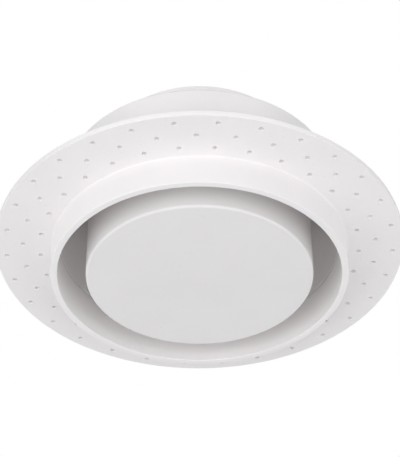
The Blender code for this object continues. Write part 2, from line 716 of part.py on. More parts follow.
def small_screws(steel, axis):
    """Every small screw of the housing, spigot, bridge and plug."""
    wall = SOCKET_OUTER + FACE_GAP
    screws("housing_screw", SMALL_SCREW, wall - HOUSING_SCREW_INNER - TIP_COVER,
           housing_screw_places(wall), steel)
    seat = SPIGOT_FRONT + SPIGOT_FLANGE_THICKNESS + FACE_GAP
    screws("spigot_screw", SMALL_SCREW, seat - SEAT_LEVEL - TIP_COVER,
           spigot_screw_places(seat), steel)
    seat = PAD_TOP + FACE_GAP
    screws("bridge_screw", SMALL_SCREW, seat - SEAT_LEVEL - TIP_COVER,
           around(BRIDGE_ARMS, PAD_CENTRE, seat, BRIDGE_FIRST_ARM), steel)
    seat = PLUG_TOP + FACE_GAP
    screws("plug_screw", SMALL_SCREW, PLUG_BACK_THICKNESS + PLUG_PILOT_DEPTH - FACE_GAP,
           plug_post_places(seat), steel, axis)


def main():
    clear_scene()
    plastic = finish("white_plastic", (0.82, 0.81, 0.80), 0.55)
    acetal = finish("natural_acetal", (0.78, 0.77, 0.73), 0.4)
    steel = finish("zinc_steel", (0.60, 0.61, 0.62), 0.35, 1.0)
    foam = finish("grey_foam", (0.10, 0.10, 0.11), 0.95)
    rubber = finish("black_rubber", (0.03, 0.03, 0.03), 0.7)

    axis = bpy.data.objects.new("plug_axis", None)
    bpy.context.scene.collection.objects.link(axis)

    mounting_flange(plastic)
    housing_shell(plastic)
    duct_spigot(plastic)
    duct_seal(rubber)
    gaskets(foam)
    bridge(plastic)
    threaded_bush(acetal)
    spring(steel)
    thrust_washer(acetal)
    plug_cap(plastic, axis)
    plug_back(plastic, axis)
    plug_seal(foam, axis)
    spindle(acetal, axis)
    spindle_fixings(steel, axis)
    small_screws(steel, axis)


main()
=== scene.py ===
"""Finished look of a trimless ceiling air diffuser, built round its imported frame.

Each piece gets a fine mesh in the place that the frame gives it, and a procedural finish.
Units are metres. +Z is up into the ceiling and is the axis of every round piece; the room
is towards -Z.
"""

import logging
import math
from abc import ABC, abstractmethod
from collections.abc import Mapping, Sequence
from dataclasses import dataclass, field
from enum import Enum
from typing import Any, ClassVar

import bmesh
import bpy
from mathutils import Matrix, Quaternion, Vector


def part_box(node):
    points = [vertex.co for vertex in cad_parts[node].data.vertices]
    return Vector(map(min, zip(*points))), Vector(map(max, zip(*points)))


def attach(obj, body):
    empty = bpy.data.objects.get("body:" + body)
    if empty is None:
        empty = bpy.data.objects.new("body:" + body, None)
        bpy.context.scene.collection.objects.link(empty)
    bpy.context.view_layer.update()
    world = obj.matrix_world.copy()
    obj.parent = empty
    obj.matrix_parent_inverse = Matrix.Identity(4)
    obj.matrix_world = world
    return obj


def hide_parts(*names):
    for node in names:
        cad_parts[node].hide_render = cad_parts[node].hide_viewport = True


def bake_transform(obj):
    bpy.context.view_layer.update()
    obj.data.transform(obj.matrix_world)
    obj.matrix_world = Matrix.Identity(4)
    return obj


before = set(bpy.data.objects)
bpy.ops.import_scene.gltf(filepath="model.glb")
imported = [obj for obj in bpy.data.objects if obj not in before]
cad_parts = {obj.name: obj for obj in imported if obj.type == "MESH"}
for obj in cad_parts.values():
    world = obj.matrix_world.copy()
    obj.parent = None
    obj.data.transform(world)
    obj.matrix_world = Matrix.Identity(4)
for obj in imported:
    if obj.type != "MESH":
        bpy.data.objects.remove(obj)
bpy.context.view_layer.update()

MM = 0.001
MERGE_DISTANCE = 0.001 * MM
RING_SEGMENTS = 180
SMALL_SEGMENTS = 96
BORE_SEGMENTS = 32
ARC_STEPS = 4
SHARP_ANGLE = math.radians(38)
FACE_GAP = 0.3 * MM
SCREW_HOLE = 1.6 * MM
HOLE_REACH = 5 * MM

Point = tuple[float, float]
Colour = tuple[float, float, float]

log = logging.getLogger("diffuser")


class Body(Enum):
    """The frame's moving bodies."""

    HOUSING = "housing"
    THRUST_WASHER = "thrust_washer"
    PLUG = "plug"


class Slot(Enum):
    """The record's material slots."""

    FLANGE = "flange_plastic"
    HOUSING = "housing_plastic"
    PLUG = "plug_plastic"
    INNER = "inner_plastic"
    ACETAL = "acetal"
    ZINC = "zinc_steel"
    SPRING = "spring_steel"
    FOAM = "gasket_foam"
    RUBBER = "seal_rubber"


class Join(Enum):
    """How a tool shape changes the shape that it meets."""

    ADD = "UNION"
    CUT = "DIFFERENCE"


# --------------------------------------------------------------------------- outlines


@dataclass(frozen=True)
class Corner:
    """One corner of a turned outline: radius from the axis, height and rounding."""

    r: float
    z: float
    fillet: float = 0.0


def rounded(corners: Sequence[Corner], steps: int = ARC_STEPS) -> list[Point]:
    """Draws an outline through corners, with their roundings as circular arcs.

    Args:
        corners: The outline's corners in order.
        steps: Straight pieces in each arc.

    Returns:
        The outline's points as (radius, height).
    """
    points: list[Point] = []
    for index, corner in enumerate(corners):
        if corner.fillet <= 0:
            points.append((corner.r, corner.z))
            continue
        here = Vector((corner.r, corner.z))
        ways = []
        for other in (corners[index - 1], corners[(index + 1) % len(corners)]):
            ways.append((Vector((other.r, other.z)) - here).normalized())
        half = ways[0].angle(ways[1]) / 2
        centre = here + (ways[0] + ways[1]).normalized() * corner.fillet / math.sin(half)
        reach = corner.fillet / math.tan(half)
        start, end = (here + way * reach - centre for way in ways)
        sweep = math.pi - 2 * half
        for step in range(steps + 1):
            a = math.sin(sweep * (1 - step / steps)) / math.sin(sweep)
            b = math.sin(sweep * step / steps) / math.sin(sweep)
            points.append(tuple(centre + start * a + end * b))
    return points


def ring(inner: float, outer: float, low: float, high: float, edge: float) -> list[Corner]:
    """Corners of a flat ring's section, each rounded by edge."""
    places = ((outer, high), (outer, low), (inner, low), (inner, high))
    return [Corner(r, z, edge) for r, z in places]


def around(count: int, first: float = 0.0) -> list[float]:
    """Angles evenly spaced round the axis, from first on."""
    return [first + math.tau * index / count for index in range(count)]


# ----------------------------------------------------------------------------- shapes


def bridge_rings(bm: bmesh.types.BMesh, first: Sequence, second: Sequence) -> None:
    """Lays faces between two rings of verts; a ring of one vert is a pole.

    Args:
        bm: The mesh.
        first: The first ring's verts.
        second: The second ring's verts, as many or one.
    """
    count = max(len(first), len(second))
    for k in range(count):
        n = (k + 1) % count
        if len(first) == 1:
            bm.faces.new((first[0], second[k], second[n]))
        elif len(second) == 1:
            bm.faces.new((first[k], second[0], first[n]))
        else:
            bm.faces.new((first[k], second[k], second[n], first[n]))


def lathe(
    outline: Sequence[Point],
    segments: int,
    closed: bool = True,
    bm: bmesh.types.BMesh | None = None,
) -> bmesh.types.BMesh:
    """Turns an outline round the axis.

    Args:
        outline: Points as (radius, height); a radius of 0 makes a pole.
        segments: Flats round the axis.
        closed: Whether the last point joins the first.
        bm: Mesh to add to, or None for a new one.

    Returns:
        The mesh.
    """
    bm = bm or bmesh.new()
    rings = []
    for r, z in outline:
        if r < MERGE_DISTANCE:
            rings.append([bm.verts.new((0, 0, z))])
            continue
        angles = around(segments)
        rings.append([bm.verts.new((r * math.cos(a), r * math.sin(a), z)) for a in angles])
    pairs = list(zip(rings, rings[1:]))
    if closed and len(rings[0]) > 1 and len(rings[-1]) > 1:
        pairs.append((rings[-1], rings[0]))
    for first, second in pairs:
        bridge_rings(bm, first, second)
    return bm


def turned(corners: Sequence[Corner], segments: int = RING_SEGMENTS) -> bmesh.types.BMesh:
    """A turned solid from its section's corners."""
    return lathe(rounded(corners), segments)


def rod(radius: float, low: float, high: float, edge: float = 0.0) -> bmesh.types.BMesh:
    """A round rod on the axis with eased ends."""
    corners = (Corner(0, high), Corner(radius, high, edge), Corner(radius, low, edge), Corner(0, low))
    return lathe(rounded(corners), BORE_SEGMENTS)


def bar(start: float, end: float, width: float, low: float, high: float,
        edge: float) -> bmesh.types.BMesh:
    """A bar along +X from start to end with rounded edges.

    Args:
        start: Where the bar starts on X.
        end: Where it ends.
        width: Its width on Y.
        low: Height of its lower face.
        high: Height of its upper face.
        edge: How far its edges are rounded.

    Returns:
        The bar's mesh.
    """
    bm = bmesh.new()
    sizes = Matrix.Diagonal((end - start, width, high - low, 1))
    middle = Matrix.Translation(((start + end) / 2, 0, (low + high) / 2))
    bmesh.ops.create_cube(bm, size=1, matrix=middle @ sizes)
    if edge > 0:
        bmesh.ops.bevel(bm, geom=bm.edges[:], offset=edge, segments=3, affect="EDGES", profile=0.5)
    return bm


def copies(shape: bmesh.types.BMesh, places: Sequence[Matrix]) -> bmesh.types.BMesh:
    """One mesh with a copy of a shape at each place.

    Args:
        shape: The shape; its mesh is used up.
        places: Where each copy goes.

    Returns:
        The mesh.
    """
    mesh = bpy.data.meshes.new("copy")
    shape.to_mesh(mesh)
    shape.free()
    bm = bmesh.new()
    for place in places:
        mesh.transform(place)
        bm.from_mesh(mesh)
        mesh.transform(place.inverted())
    bpy.data.meshes.remove(mesh)
    return bm


def prism(outline: Sequence[Point], low: float, high: float,
          shrink: float = 1.0) -> bmesh.types.BMesh:
    """An outline in X and Y drawn out from high to low, scaled by shrink at its low end.

    Args:
        outline: Points as (x, y).
        low: Height of its low end.
        high: Height of its high end.
        shrink: Scale of its low end.

    Returns:
        The mesh.
    """
    bm = bmesh.new()
    top = [bm.verts.new((x, y, high)) for x, y in outline]
    bottom = [bm.verts.new((x * shrink, y * shrink, low)) for x, y in outline]
    bm.faces.new(top)
    bm.faces.new(bottom)
    bridge_rings(bm, top, bottom)
    return bm


def to_object(bm: bmesh.types.BMesh, name: str) -> bpy.types.Object:
    """Puts a mesh in the scene as a named object, with its faces pointing out.

    Args:
        bm: The mesh, which is used up.
        name: The object's name.

    Returns:
        The object.
    """
    bmesh.ops.remove_doubles(bm, verts=bm.verts, dist=MERGE_DISTANCE)
    bmesh.ops.recalc_face_normals(bm, faces=bm.faces)
    mesh = bpy.data.meshes.new(name)
    bm.to_mesh(mesh)
    bm.free()
    obj = bpy.data.objects.new(name, mesh)
    bpy.context.scene.collection.objects.link(obj)
    return obj


def combine(obj: bpy.types.Object, tool: bmesh.types.BMesh, how: Join) -> None:
    """Adds a tool shape to an object's mesh, or cuts it out of it.

    Args:
        obj: The object whose mesh is replaced by the result.
        tool: Closed shapes; the mesh is used up.
        how: Whether the tool is added or cut.
    """
    other = to_object(tool, obj.name + "_tool")
    modifier = obj.modifiers.new("shape", "BOOLEAN")
    modifier.operation = how.value
    modifier.object = other
    modifier.solver = "EXACT"
    bpy.context.view_layer.update()
    result = bpy.data.meshes.new_from_object(
        obj.evaluated_get(bpy.context.evaluated_depsgraph_get())
    )
    obj.modifiers.clear()
    old, obj.data = obj.data, result
    bpy.data.meshes.remove(old)
    bpy.data.meshes.remove(other.data)


def upright(angles: Sequence[float], radius: float, height: float = 0.0) -> list[Matrix]:
    """Upright places on a circle round the axis."""
    shift = Matrix.Translation((radius, 0, height))
    return [Matrix.Rotation(angle, 4, "Z") @ shift for angle in angles]


def outward(angles: Sequence[float], radius: float, height: float) -> list[Matrix]:
    """Places on a circle whose own Z points away from the axis."""
    lean = Matrix.Rotation(math.pi / 2, 4, "Y")
    return [place @ lean for place in upright(angles, radius, height)]


def drill(obj: bpy.types.Object, places: Sequence[Matrix]) -> None:
    """Drills a screw's hole through the wall at each place."""
    combine(obj, copies(rod(SCREW_HOLE, -HOLE_REACH, HOLE_REACH), places), Join.CUT)


def numbered(name: str, count: int) -> list[str]:
    """Names of a set of like nodes."""
    return [f"{name}_{index + 1}" for index in range(count)]


def directions(nodes: Sequence[str]) -> list[float]:
    """Direction of the middle of each frame node, seen along the axis."""
    boxes = [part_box(node) for node in nodes]
    return [math.atan2(low.y + high.y, low.x + high.x) for low, high in boxes]


@dataclass(frozen=True)
class Extent:
    """How far a frame node reaches: out from the axis, down and up."""

    radius: float
    bottom: float
    top: float

    @classmethod
    def of(cls, node: str) -> "Extent":
        """The extent of a node of the frame."""
        low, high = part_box(node)
        return cls(max(high.x, -low.x), low.z, high.z)


@dataclass(frozen=True)
class Thread:
    """A right-hand round-profiled thread."""

    radius: float
    pitch: float
    depth: float
    samples: int = 12

    def levels(self, low: float, high: float) -> list[float]:
        """Heights that sample the thread, from high to low."""
        count = math.ceil((high - low) / self.pitch * self.samples)
        return [high - (high - low) * index / count for index in range(count + 1)]

    def cut(self, bm: bmesh.types.BMesh, low: float, high: float) -> None:
        """Sinks the verts that stand on the thread's radius into its profile.

        Args:
            bm: The turned mesh.
            low: Lower end of the threaded stretch.
            high: Upper end of the threaded stretch.
        """
        bottom, top = low - MERGE_DISTANCE, high + MERGE_DISTANCE
        for vert in bm.verts:
            x, y, z = vert.co
            if abs(math.hypot(x, y) - self.radius) > MERGE_DISTANCE or not bottom < z < top:
                continue
            turns = z / self.pitch - math.atan2(y, x) / math.tau
            sink = self.depth * (0.5 - 0.5 * math.cos(math.tau * turns))
            vert.co.x *= 1 - sink / self.radius
            vert.co.y *= 1 - sink / self.radius


# ---------------------------------------------------------------------- shader effects


class Graph:
    """Short-hand for adding and wiring the nodes of one tree."""

    def __init__(self, tree: bpy.types.NodeTree) -> None:
        """Keeps the tree that nodes are added to."""
        self.tree = tree

    def feed(self, socket: bpy.types.NodeSocket, value: Any) -> None:
        """Links a socket to another socket, or sets its value.

        Args:
            socket: The input.
            value: What feeds it.
        """
        if isinstance(value, bpy.types.NodeSocket):
            self.tree.links.new(value, socket)
        else:
            socket.default_value = value

    def add(self, kind: str, inputs: Mapping[str | int, Any] | None = None,
            **settings: Any) -> bpy.types.Node:
        """Adds a node.

        Args:
            kind: The shader node's type, without its prefix.
            inputs: What feeds each input, by name or number.
            **settings: The node's own properties.

        Returns:
            The node.
        """
        node = self.tree.nodes.new("ShaderNode" + kind)
        for key, value in settings.items():
            setattr(node, key, value)
        for key, value in (inputs or {}).items():
            self.feed(node.inputs[key], value)
        return node

    def math(self, operation: str, *values: Any) -> bpy.types.NodeSocket:
        """The output of a math node on its values."""
        return self.add("Math", dict(enumerate(values)), operation=operation).outputs[0]

    def mix(self, share: Any, first: Any, second: Any) -> bpy.types.NodeSocket:
        """A colour between two colours."""
        node = self.add("Mix", {0: share, 6: first, 7: second}, data_type="RGBA")
        return node.outputs[2]

    def span(self, value: Any, low: float, high: float, to_low: float = 0.0,
             to_high: float = 1.0) -> bpy.types.NodeSocket:
        """A value mapped from one range to another, clamped.

        Args:
            value: The value.
            low: Start of its range.
            high: End of its range.
            to_low: What the start becomes.
            to_high: What the end becomes.

        Returns:
            The mapped value.
        """
        inputs = {"Value": value, "From Min": low, "From Max": high,
                  "To Min": to_low, "To Max": to_high}
        return self.add("MapRange", inputs).outputs["Result"]

    def place(self) -> bpy.types.NodeSocket:
        """Where the surface point is on its own piece, in metres."""
        return self.add("TexCoord").outputs["Object"]

    def noise(self, size: Any, detail: float, where: Any = None) -> bpy.types.NodeSocket:
        """Soft noise whose features are about size metres wide.

        Args:
            size: Width of the features in metres.
            detail: How many finer layers it has.
            where: The place to read it at, or None for the piece's own.

        Returns:
            The noise, from 0 to 1.
        """
        per_metre = self.math("DIVIDE", 1.0, size)
        inputs = {"Vector": where or self.place(), "Scale": per_metre, "Detail": detail}
        return self.add("TexNoise", inputs).outputs["Fac"]


class Effect(ABC):
    """A shader node group, built once and placed in each material that uses it."""

    title: ClassVar[str]
    takes: ClassVar[Mapping[str, tuple[str, Any]]]
    gives: ClassVar[Mapping[str, str]]

    @classmethod
    def tree(cls) -> bpy.types.NodeTree:
        """The group's node tree, made on first use.

        Returns:
            The node tree.
        """
        found = bpy.data.node_groups.get(cls.title)
        if found:
            return found
        tree = bpy.data.node_groups.new(cls.title, "ShaderNodeTree")
        for name, (kind, value) in cls.takes.items():
            socket = tree.interface.new_socket(name=name, in_out="INPUT", socket_type=kind)
            socket.default_value = value
        for name, kind in cls.gives.items():
            tree.interface.new_socket(name=name, in_out="OUTPUT", socket_type=kind)
        source = tree.nodes.new("NodeGroupInput").outputs
        target = tree.nodes.new("NodeGroupOutput").inputs
        graph = Graph(tree)
        for name, value in cls.wire(graph, source).items():
            graph.feed(target[name], value)
        return tree

    @classmethod
    def use(cls, graph: Graph, **values: Any) -> bpy.types.NodeOutputs:
        """Places the group in a material.

        Args:
            graph: The material's graph.
            **values: Inputs by name, with _ for a space.

        Returns:
            The group's outputs.
        """
        node = graph.add("Group", node_tree=cls.tree())
        for key, value in values.items():
            graph.feed(node.inputs[key.replace("_", " ")], value)
        return node.outputs

    @classmethod
    @abstractmethod
    def wire(cls, graph: Graph, source: Any) -> dict[str, Any]:
        """Builds the group's nodes and returns what feeds each output."""


FLOAT = "NodeSocketFloat"
COLOUR = "NodeSocketColor"
DIRT = (0.18, 0.17, 0.16, 1)


class MouldGrain(Effect):
    """Fine spark-eroded texture of a mould, over slow waves left by shrinkage."""

    title = "mould_grain"
    takes = {"Grain Size": (FLOAT, 0.0003), "Wave Size": (FLOAT, 0.03),
             "Wave Share": (FLOAT, 0.3)}
    gives = {"Height": FLOAT, "Gloss Change": FLOAT}

    @classmethod
    def wire(cls, graph: Graph, source: Any) -> dict[str, Any]:
        """Mixes grain and waves into one height.

        Args:
            graph: The group's graph.
            source: The group's inputs.

        Returns:
            What feeds each output.
        """
        grain = graph.noise(source["Grain Size"], 2.0)
        pits = graph.add("TexVoronoi", {
            "Vector": graph.place(),
            "Scale": graph.math("DIVIDE", 0.6, source["Grain Size"]),
        }, feature="SMOOTH_F1").outputs["Distance"]
        rough = graph.math("ADD", graph.math("MULTIPLY", grain, 0.6),
                           graph.math("MULTIPLY", pits, 0.4))
        waves = graph.noise(source["Wave Size"], 1.0)
        rest = graph.math("SUBTRACT", 1.0, source["Wave Share"])
        height = graph.math("ADD", graph.math("MULTIPLY", rough, rest),
                            graph.math("MULTIPLY", waves, source["Wave Share"]))
        return {"Height": height, "Gloss Change": graph.math("SUBTRACT", waves, 0.5)}


class ColourDrift(Effect):
    """Slow drift of a colour over a piece, with rare fine specks."""

    title = "colour_drift"
    takes = {"Colour": (COLOUR, (1, 1, 1, 1)), "Drift Colour": (COLOUR, (1, 1, 1, 1)),
             "Patch Size": (FLOAT, 0.02), "Speck Size": (FLOAT, 0.001),
             "Speck Amount": (FLOAT, 0.1)}
    gives = {"Colour": COLOUR}

    @classmethod
    def wire(cls, graph: Graph, source: Any) -> dict[str, Any]:
        """Blends the two colours by noise and darkens the specks.

        Args:
            graph: The group's graph.
            source: The group's inputs.

        Returns:
            What feeds each output.
        """
        patches = graph.span(graph.noise(source["Patch Size"], 3.0), 0.35, 0.65)
        tone = graph.mix(patches, source["Colour"], source["Drift Colour"])
        specks = graph.span(graph.noise(source["Speck Size"], 0.0), 0.8, 0.86)
        amount = graph.math("MULTIPLY", specks, source["Speck Amount"])
        return {"Colour": graph.mix(amount, tone, DIRT)}


class EdgeHighlightAndWear(Effect):
    """Mask of a piece's outer edges, broken up by noise; plastics and metals lighten their edges by
    it as a painted highlight, and it changes the edges' gloss.
    """

    title = "edge_highlight_and_wear"
    takes = {"Radius": (FLOAT, 0.0006), "Break Size": (FLOAT, 0.004)}
    gives = {"Mask": FLOAT}

    @classmethod
    def wire(cls, graph: Graph, source: Any) -> dict[str, Any]:
        """Compares the surface with the same surface rounded off.

        Args:
            graph: The group's graph.
            source: The group's inputs.

        Returns:
            What feeds each output.
        """
        soft = graph.add("Bevel", {"Radius": source["Radius"]}, samples=4).outputs[0]
        true = graph.add("NewGeometry").outputs["Normal"]
        alike = graph.add("VectorMath", {0: soft, 1: true}, operation="DOT_PRODUCT")
        bend = graph.math("SUBTRACT", 1.0, alike.outputs["Value"])
        edge = graph.span(bend, 0.004, 0.12)
        broken = graph.span(graph.noise(source["Break Size"], 3.0), 0.3, 0.6, 0.35, 1.0)
        return {"Mask": graph.math("MULTIPLY", edge, broken)}


class TurnedMarks(Effect):
    """Rings that a cutting tool leaves round a piece's own axis."""

    title = "turned_marks"
    takes = {"Spacing": (FLOAT, 0.0002), "Waver": (FLOAT, 0.5)}
    gives = {"Height": FLOAT, "Streak": FLOAT}

    @classmethod
    def wire(cls, graph: Graph, source: Any) -> dict[str, Any]:
        """Draws noise that depends on the distance from the axis alone.

        Args:
            graph: The group's graph.
            source: The group's inputs.

        Returns:
            What feeds each output.
        """
        parts = graph.add("SeparateXYZ", {0: graph.place()}).outputs
        squares = [graph.math("MULTIPLY", parts[axis], parts[axis]) for axis in "XY"]
        away = graph.math("SQRT", graph.math("ADD", *squares))
        path = graph.add("CombineXYZ", {"X": away, "Y": parts["Z"]}).outputs[0]
        streak = graph.noise(source["Spacing"], 2.0, path)
        waver = graph.math("MULTIPLY", graph.noise(0.003, 2.0), source["Waver"])
        return {"Height": graph.math("ADD", streak, waver), "Streak": streak}


class FoamCells(Effect):
    """Cells of cut foam, as small pits; their pit mask also carries the painted shade in the pits."""

    title = "foam_cells"
    takes = {"Cell Size": (FLOAT, 0.0008)}
    gives = {"Height": FLOAT, "Depth": FLOAT}

    @classmethod
    def wire(cls, graph: Graph, source: Any) -> dict[str, Any]:
        """Rounds each cell into a small pit.

        Args:
            graph: The group's graph.
            source: The group's inputs.

        Returns:
            What feeds each output.
        """
        scale = graph.math("DIVIDE", 1.0, source["Cell Size"])
        cells = graph.add("TexVoronoi", {"Vector": graph.place(), "Scale": scale})
        pit = graph.span(cells.outputs["Distance"], 0.1, 0.6)
        fuzz = graph.noise(source["Cell Size"], 4.0)
        height = graph.math("ADD", pit, graph.math("MULTIPLY", fuzz, 0.5))
        return {"Height": height, "Depth": pit}


# --------------------------------------------------------------------------- finishes


@dataclass(frozen=True)
class Finish(ABC):
    """A surface finish, made into a material on first use."""

    name: str
    colour: Colour
    # A second colour: a random drift for most finishes, and the painted shade in the pits for foam.
    drift_and_pit_shade: Colour
    roughness: float
    depth: float

    def material(self) -> bpy.types.Material:
        """The finish's material, made on first use.

        Returns:
            The material.
        """
        found = bpy.data.materials.get(self.name)
        if found:
            return found
        material = bpy.data.materials.new(self.name)
        material.use_nodes = True
        graph = Graph(material.node_tree)
        self.wire(graph, material.node_tree.nodes["Principled BSDF"])
        return material

    def surface(self, graph: Graph, shader: bpy.types.Node, colour: Any, roughness: Any,
                height: Any) -> None:
        """Feeds the shader's colour, roughness and relief.

        Args:
            graph: The material's graph.
            shader: Its Principled shader.
            colour: What feeds the base colour.
            roughness: What feeds the roughness.
            height: What feeds the relief.
        """
        graph.feed(shader.inputs["Base Color"], colour)
        graph.feed(shader.inputs["Roughness"], roughness)
        bump = graph.add("Bump", {"Height": height, "Distance": self.depth})
        graph.feed(shader.inputs["Normal"], bump.outputs["Normal"])

    @abstractmethod
    def wire(self, graph: Graph, shader: bpy.types.Node) -> None:
        """Builds the finish round the material's shader."""


@dataclass(frozen=True)
class MouldedPlastic(Finish):
    """Opaque moulded plastic with a fine matt mould texture."""

    grain: float = 0.35 * MM
    waves: float = 35 * MM
    wave_share: float = 0.35
    speck_amount: float = 0.12
    # Colour that the edges are lightened towards: a painted highlight.
    edge_highlight: Colour = (0.93, 0.905, 0.9)
    edge_mask_radius: float = 0.7 * MM
    # Strength of that painted edge highlight.
    edge_highlight_amount: float = 0.5
    wear_gloss: float = 0.12
    wave_gloss: float = 0.12

    def wire(self, graph: Graph, shader: bpy.types.Node) -> None:
        """Grain, slow colour drift, edges lightened as a painted highlight, and glossier edges.

        Args:
            graph: The material's graph.
            shader: Its Principled shader.
        """
        grain = MouldGrain.use(graph, Grain_Size=self.grain, Wave_Size=self.waves,
                               Wave_Share=self.wave_share)
        tone = ColourDrift.use(graph, Colour=(*self.colour, 1), Drift_Colour=(*self.drift_and_pit_shade, 1),
                               Patch_Size=self.waves, Speck_Amount=self.speck_amount)
        edge_mask = EdgeHighlightAndWear.use(graph, Radius=self.edge_mask_radius)["Mask"]
        # Painted highlight: the edges' colour is lightened; the gloss change below is real.
        highlight_share = graph.math("MULTIPLY", edge_mask, self.edge_highlight_amount)
        colour = graph.mix(highlight_share, tone["Colour"], (*self.edge_highlight, 1))
        change = graph.math("MULTIPLY", grain["Gloss Change"], self.wave_gloss)
        rough = graph.math("ADD", change, self.roughness)
        rough = graph.math("SUBTRACT", rough, graph.math("MULTIPLY", edge_mask, self.wear_gloss))
        self.surface(graph, shader, colour, rough, grain["Height"])


@dataclass(frozen=True)
class Metal(Finish):
    """Machined or drawn metal with fine marks round its axis."""

    spacing: float = 0.15 * MM
    streak_gloss: float = 0.16
    patch: float = 2 * MM
    speck_amount: float = 0.3
    # Colour that the edges are brightened towards: a painted highlight.
    edge_highlight: Colour = (0.86, 0.86, 0.86)
    edge_mask_radius: float = 0.25 * MM
    edge_mask_break: float = 1 * MM
    # Strength of that painted edge highlight.
    edge_highlight_amount: float = 0.6

    def wire(self, graph: Graph, shader: bpy.types.Node) -> None:
        """Tool marks, plating tone and edges brightened as a painted highlight.

        Args:
            graph: The material's graph.
            shader: Its Principled shader.
        """
        marks = TurnedMarks.use(graph, Spacing=self.spacing)
        tone = ColourDrift.use(graph, Colour=(*self.colour, 1), Drift_Colour=(*self.drift_and_pit_shade, 1),
                               Patch_Size=self.patch, Speck_Amount=self.speck_amount)
        edge_mask = EdgeHighlightAndWear.use(graph, Radius=self.edge_mask_radius, Break_Size=self.edge_mask_break)["Mask"]
        # Painted highlight: the edges' colour is brightened.
        highlight_share = graph.math("MULTIPLY", edge_mask, self.edge_highlight_amount)
        colour = graph.mix(highlight_share, tone["Colour"], (*self.edge_highlight, 1))
        change = graph.math("MULTIPLY", graph.math("SUBTRACT", marks["Streak"], 0.5),
                            self.streak_gloss)
        shader.inputs["Metallic"].default_value = 1.0
        self.surface(graph, shader, colour, graph.math("ADD", change, self.roughness),
                     marks["Height"])


@dataclass(frozen=True)
class Foam(Finish):
    """Closed-cell sealing foam."""

    cell: float = 0.7 * MM
    pit_gloss: float = 0.08

    def wire(self, graph: Graph, shader: bpy.types.Node) -> None:
        """Cells whose pits are darkened as painted shade.

        Args:
            graph: The material's graph.
            shader: Its Principled shader.
        """
        cells = FoamCells.use(graph, Cell_Size=self.cell)
        # Painted shade: the pits take the darker colour.
        colour = graph.mix(cells["Depth"], (*self.drift_and_pit_shade, 1), (*self.colour, 1))
        rough = graph.span(cells["Depth"], 0.0, 1.0, self.roughness - self.pit_gloss,
                           self.roughness)
        self.surface(graph, shader, colour, rough, cells["Height"])


@dataclass(frozen=True)
class Rubber(Finish):
    """Moulded rubber with a faint bloom."""

    bloom: float = 6 * MM
    grain: float = 0.25 * MM
    bloom_gloss: float = 0.3
    edge_mask_radius: float = 0.4 * MM
    wear_dullness: float = 0.1

    def wire(self, graph: Graph, shader: bpy.types.Node) -> None:
        """Fine grain under patches of pale bloom and rubbed edges.

        Args:
            graph: The material's graph.
            shader: Its Principled shader.
        """
        grain = MouldGrain.use(graph, Grain_Size=self.grain, Wave_Size=self.bloom)
        tone = ColourDrift.use(graph, Colour=(*self.colour, 1), Drift_Colour=(*self.drift_and_pit_shade, 1),
                               Patch_Size=self.bloom, Speck_Amount=0.0)
        edge_mask = EdgeHighlightAndWear.use(graph, Radius=self.edge_mask_radius)["Mask"]
        change = graph.math("MULTIPLY", grain["Gloss Change"], self.bloom_gloss)
        rough = graph.math("ADD", graph.math("ADD", change, self.roughness),
                           graph.math("MULTIPLY", edge_mask, self.wear_dullness))
        self.surface(graph, shader, tone["Colour"], rough, grain["Height"])


OUTER_PLASTIC = MouldedPlastic(
    "matt_white_outer", colour=(0.9, 0.87, 0.862), drift_and_pit_shade=(0.885, 0.855, 0.847),
    roughness=0.52, depth=0.006 * MM,
)
PLUG_PLASTIC = MouldedPlastic(
    "matt_white_plug", colour=(0.83, 0.803, 0.795), drift_and_pit_shade=(0.815, 0.788, 0.78),
    roughness=0.5, depth=0.005 * MM, grain=0.3 * MM,
)
HOUSING_PLASTIC = MouldedPlastic(
    "white_housing", colour=(0.89, 0.86, 0.85), drift_and_pit_shade=(0.87, 0.84, 0.83),
    # Its edge amount sets how strong the painted edge highlight is.
    roughness=0.45, depth=0.008 * MM, grain=0.4 * MM, edge_highlight_amount=0.6,
)
INNER_PLASTIC = MouldedPlastic(
    "white_inner", colour=(0.8, 0.79, 0.775), drift_and_pit_shade=(0.76, 0.75, 0.735),
    roughness=0.42, depth=0.008 * MM, grain=0.45 * MM, speck_amount=0.25,
)
ACETAL = MouldedPlastic(
    "natural_acetal", colour=(0.76, 0.745, 0.69), drift_and_pit_shade=(0.7, 0.68, 0.62),
    roughness=0.3, depth=0.003 * MM, grain=0.2 * MM, waves=8 * MM, speck_amount=0.2,
    # The lighter edge colour here is a painted highlight.
    edge_highlight=(0.84, 0.83, 0.79), edge_mask_radius=0.3 * MM,
)
ZINC = Metal(
    "zinc_plate", colour=(0.62, 0.64, 0.66), drift_and_pit_shade=(0.55, 0.57, 0.6),
    roughness=0.3, depth=0.004 * MM,
)
SPRING_STEEL = Metal(
    "spring_wire", colour=(0.42, 0.42, 0.43), drift_and_pit_shade=(0.32, 0.32, 0.33),
    roughness=0.28, depth=0.003 * MM, spacing=0.08 * MM,
)
GASKET_FOAM = Foam(
    # Its second, darker colour is painted shade in the foam's pits.
    "gasket_foam", colour=(0.78, 0.77, 0.75), drift_and_pit_shade=(0.68, 0.67, 0.65),
    roughness=0.95, depth=0.1 * MM,
)
SEAL_RUBBER = Rubber(
    "seal_rubber", colour=(0.022, 0.022, 0.024), drift_and_pit_shade=(0.04, 0.04, 0.043),
    roughness=0.6, depth=0.01 * MM,
)


# --------------------------------------------------------------------- sub-assemblies


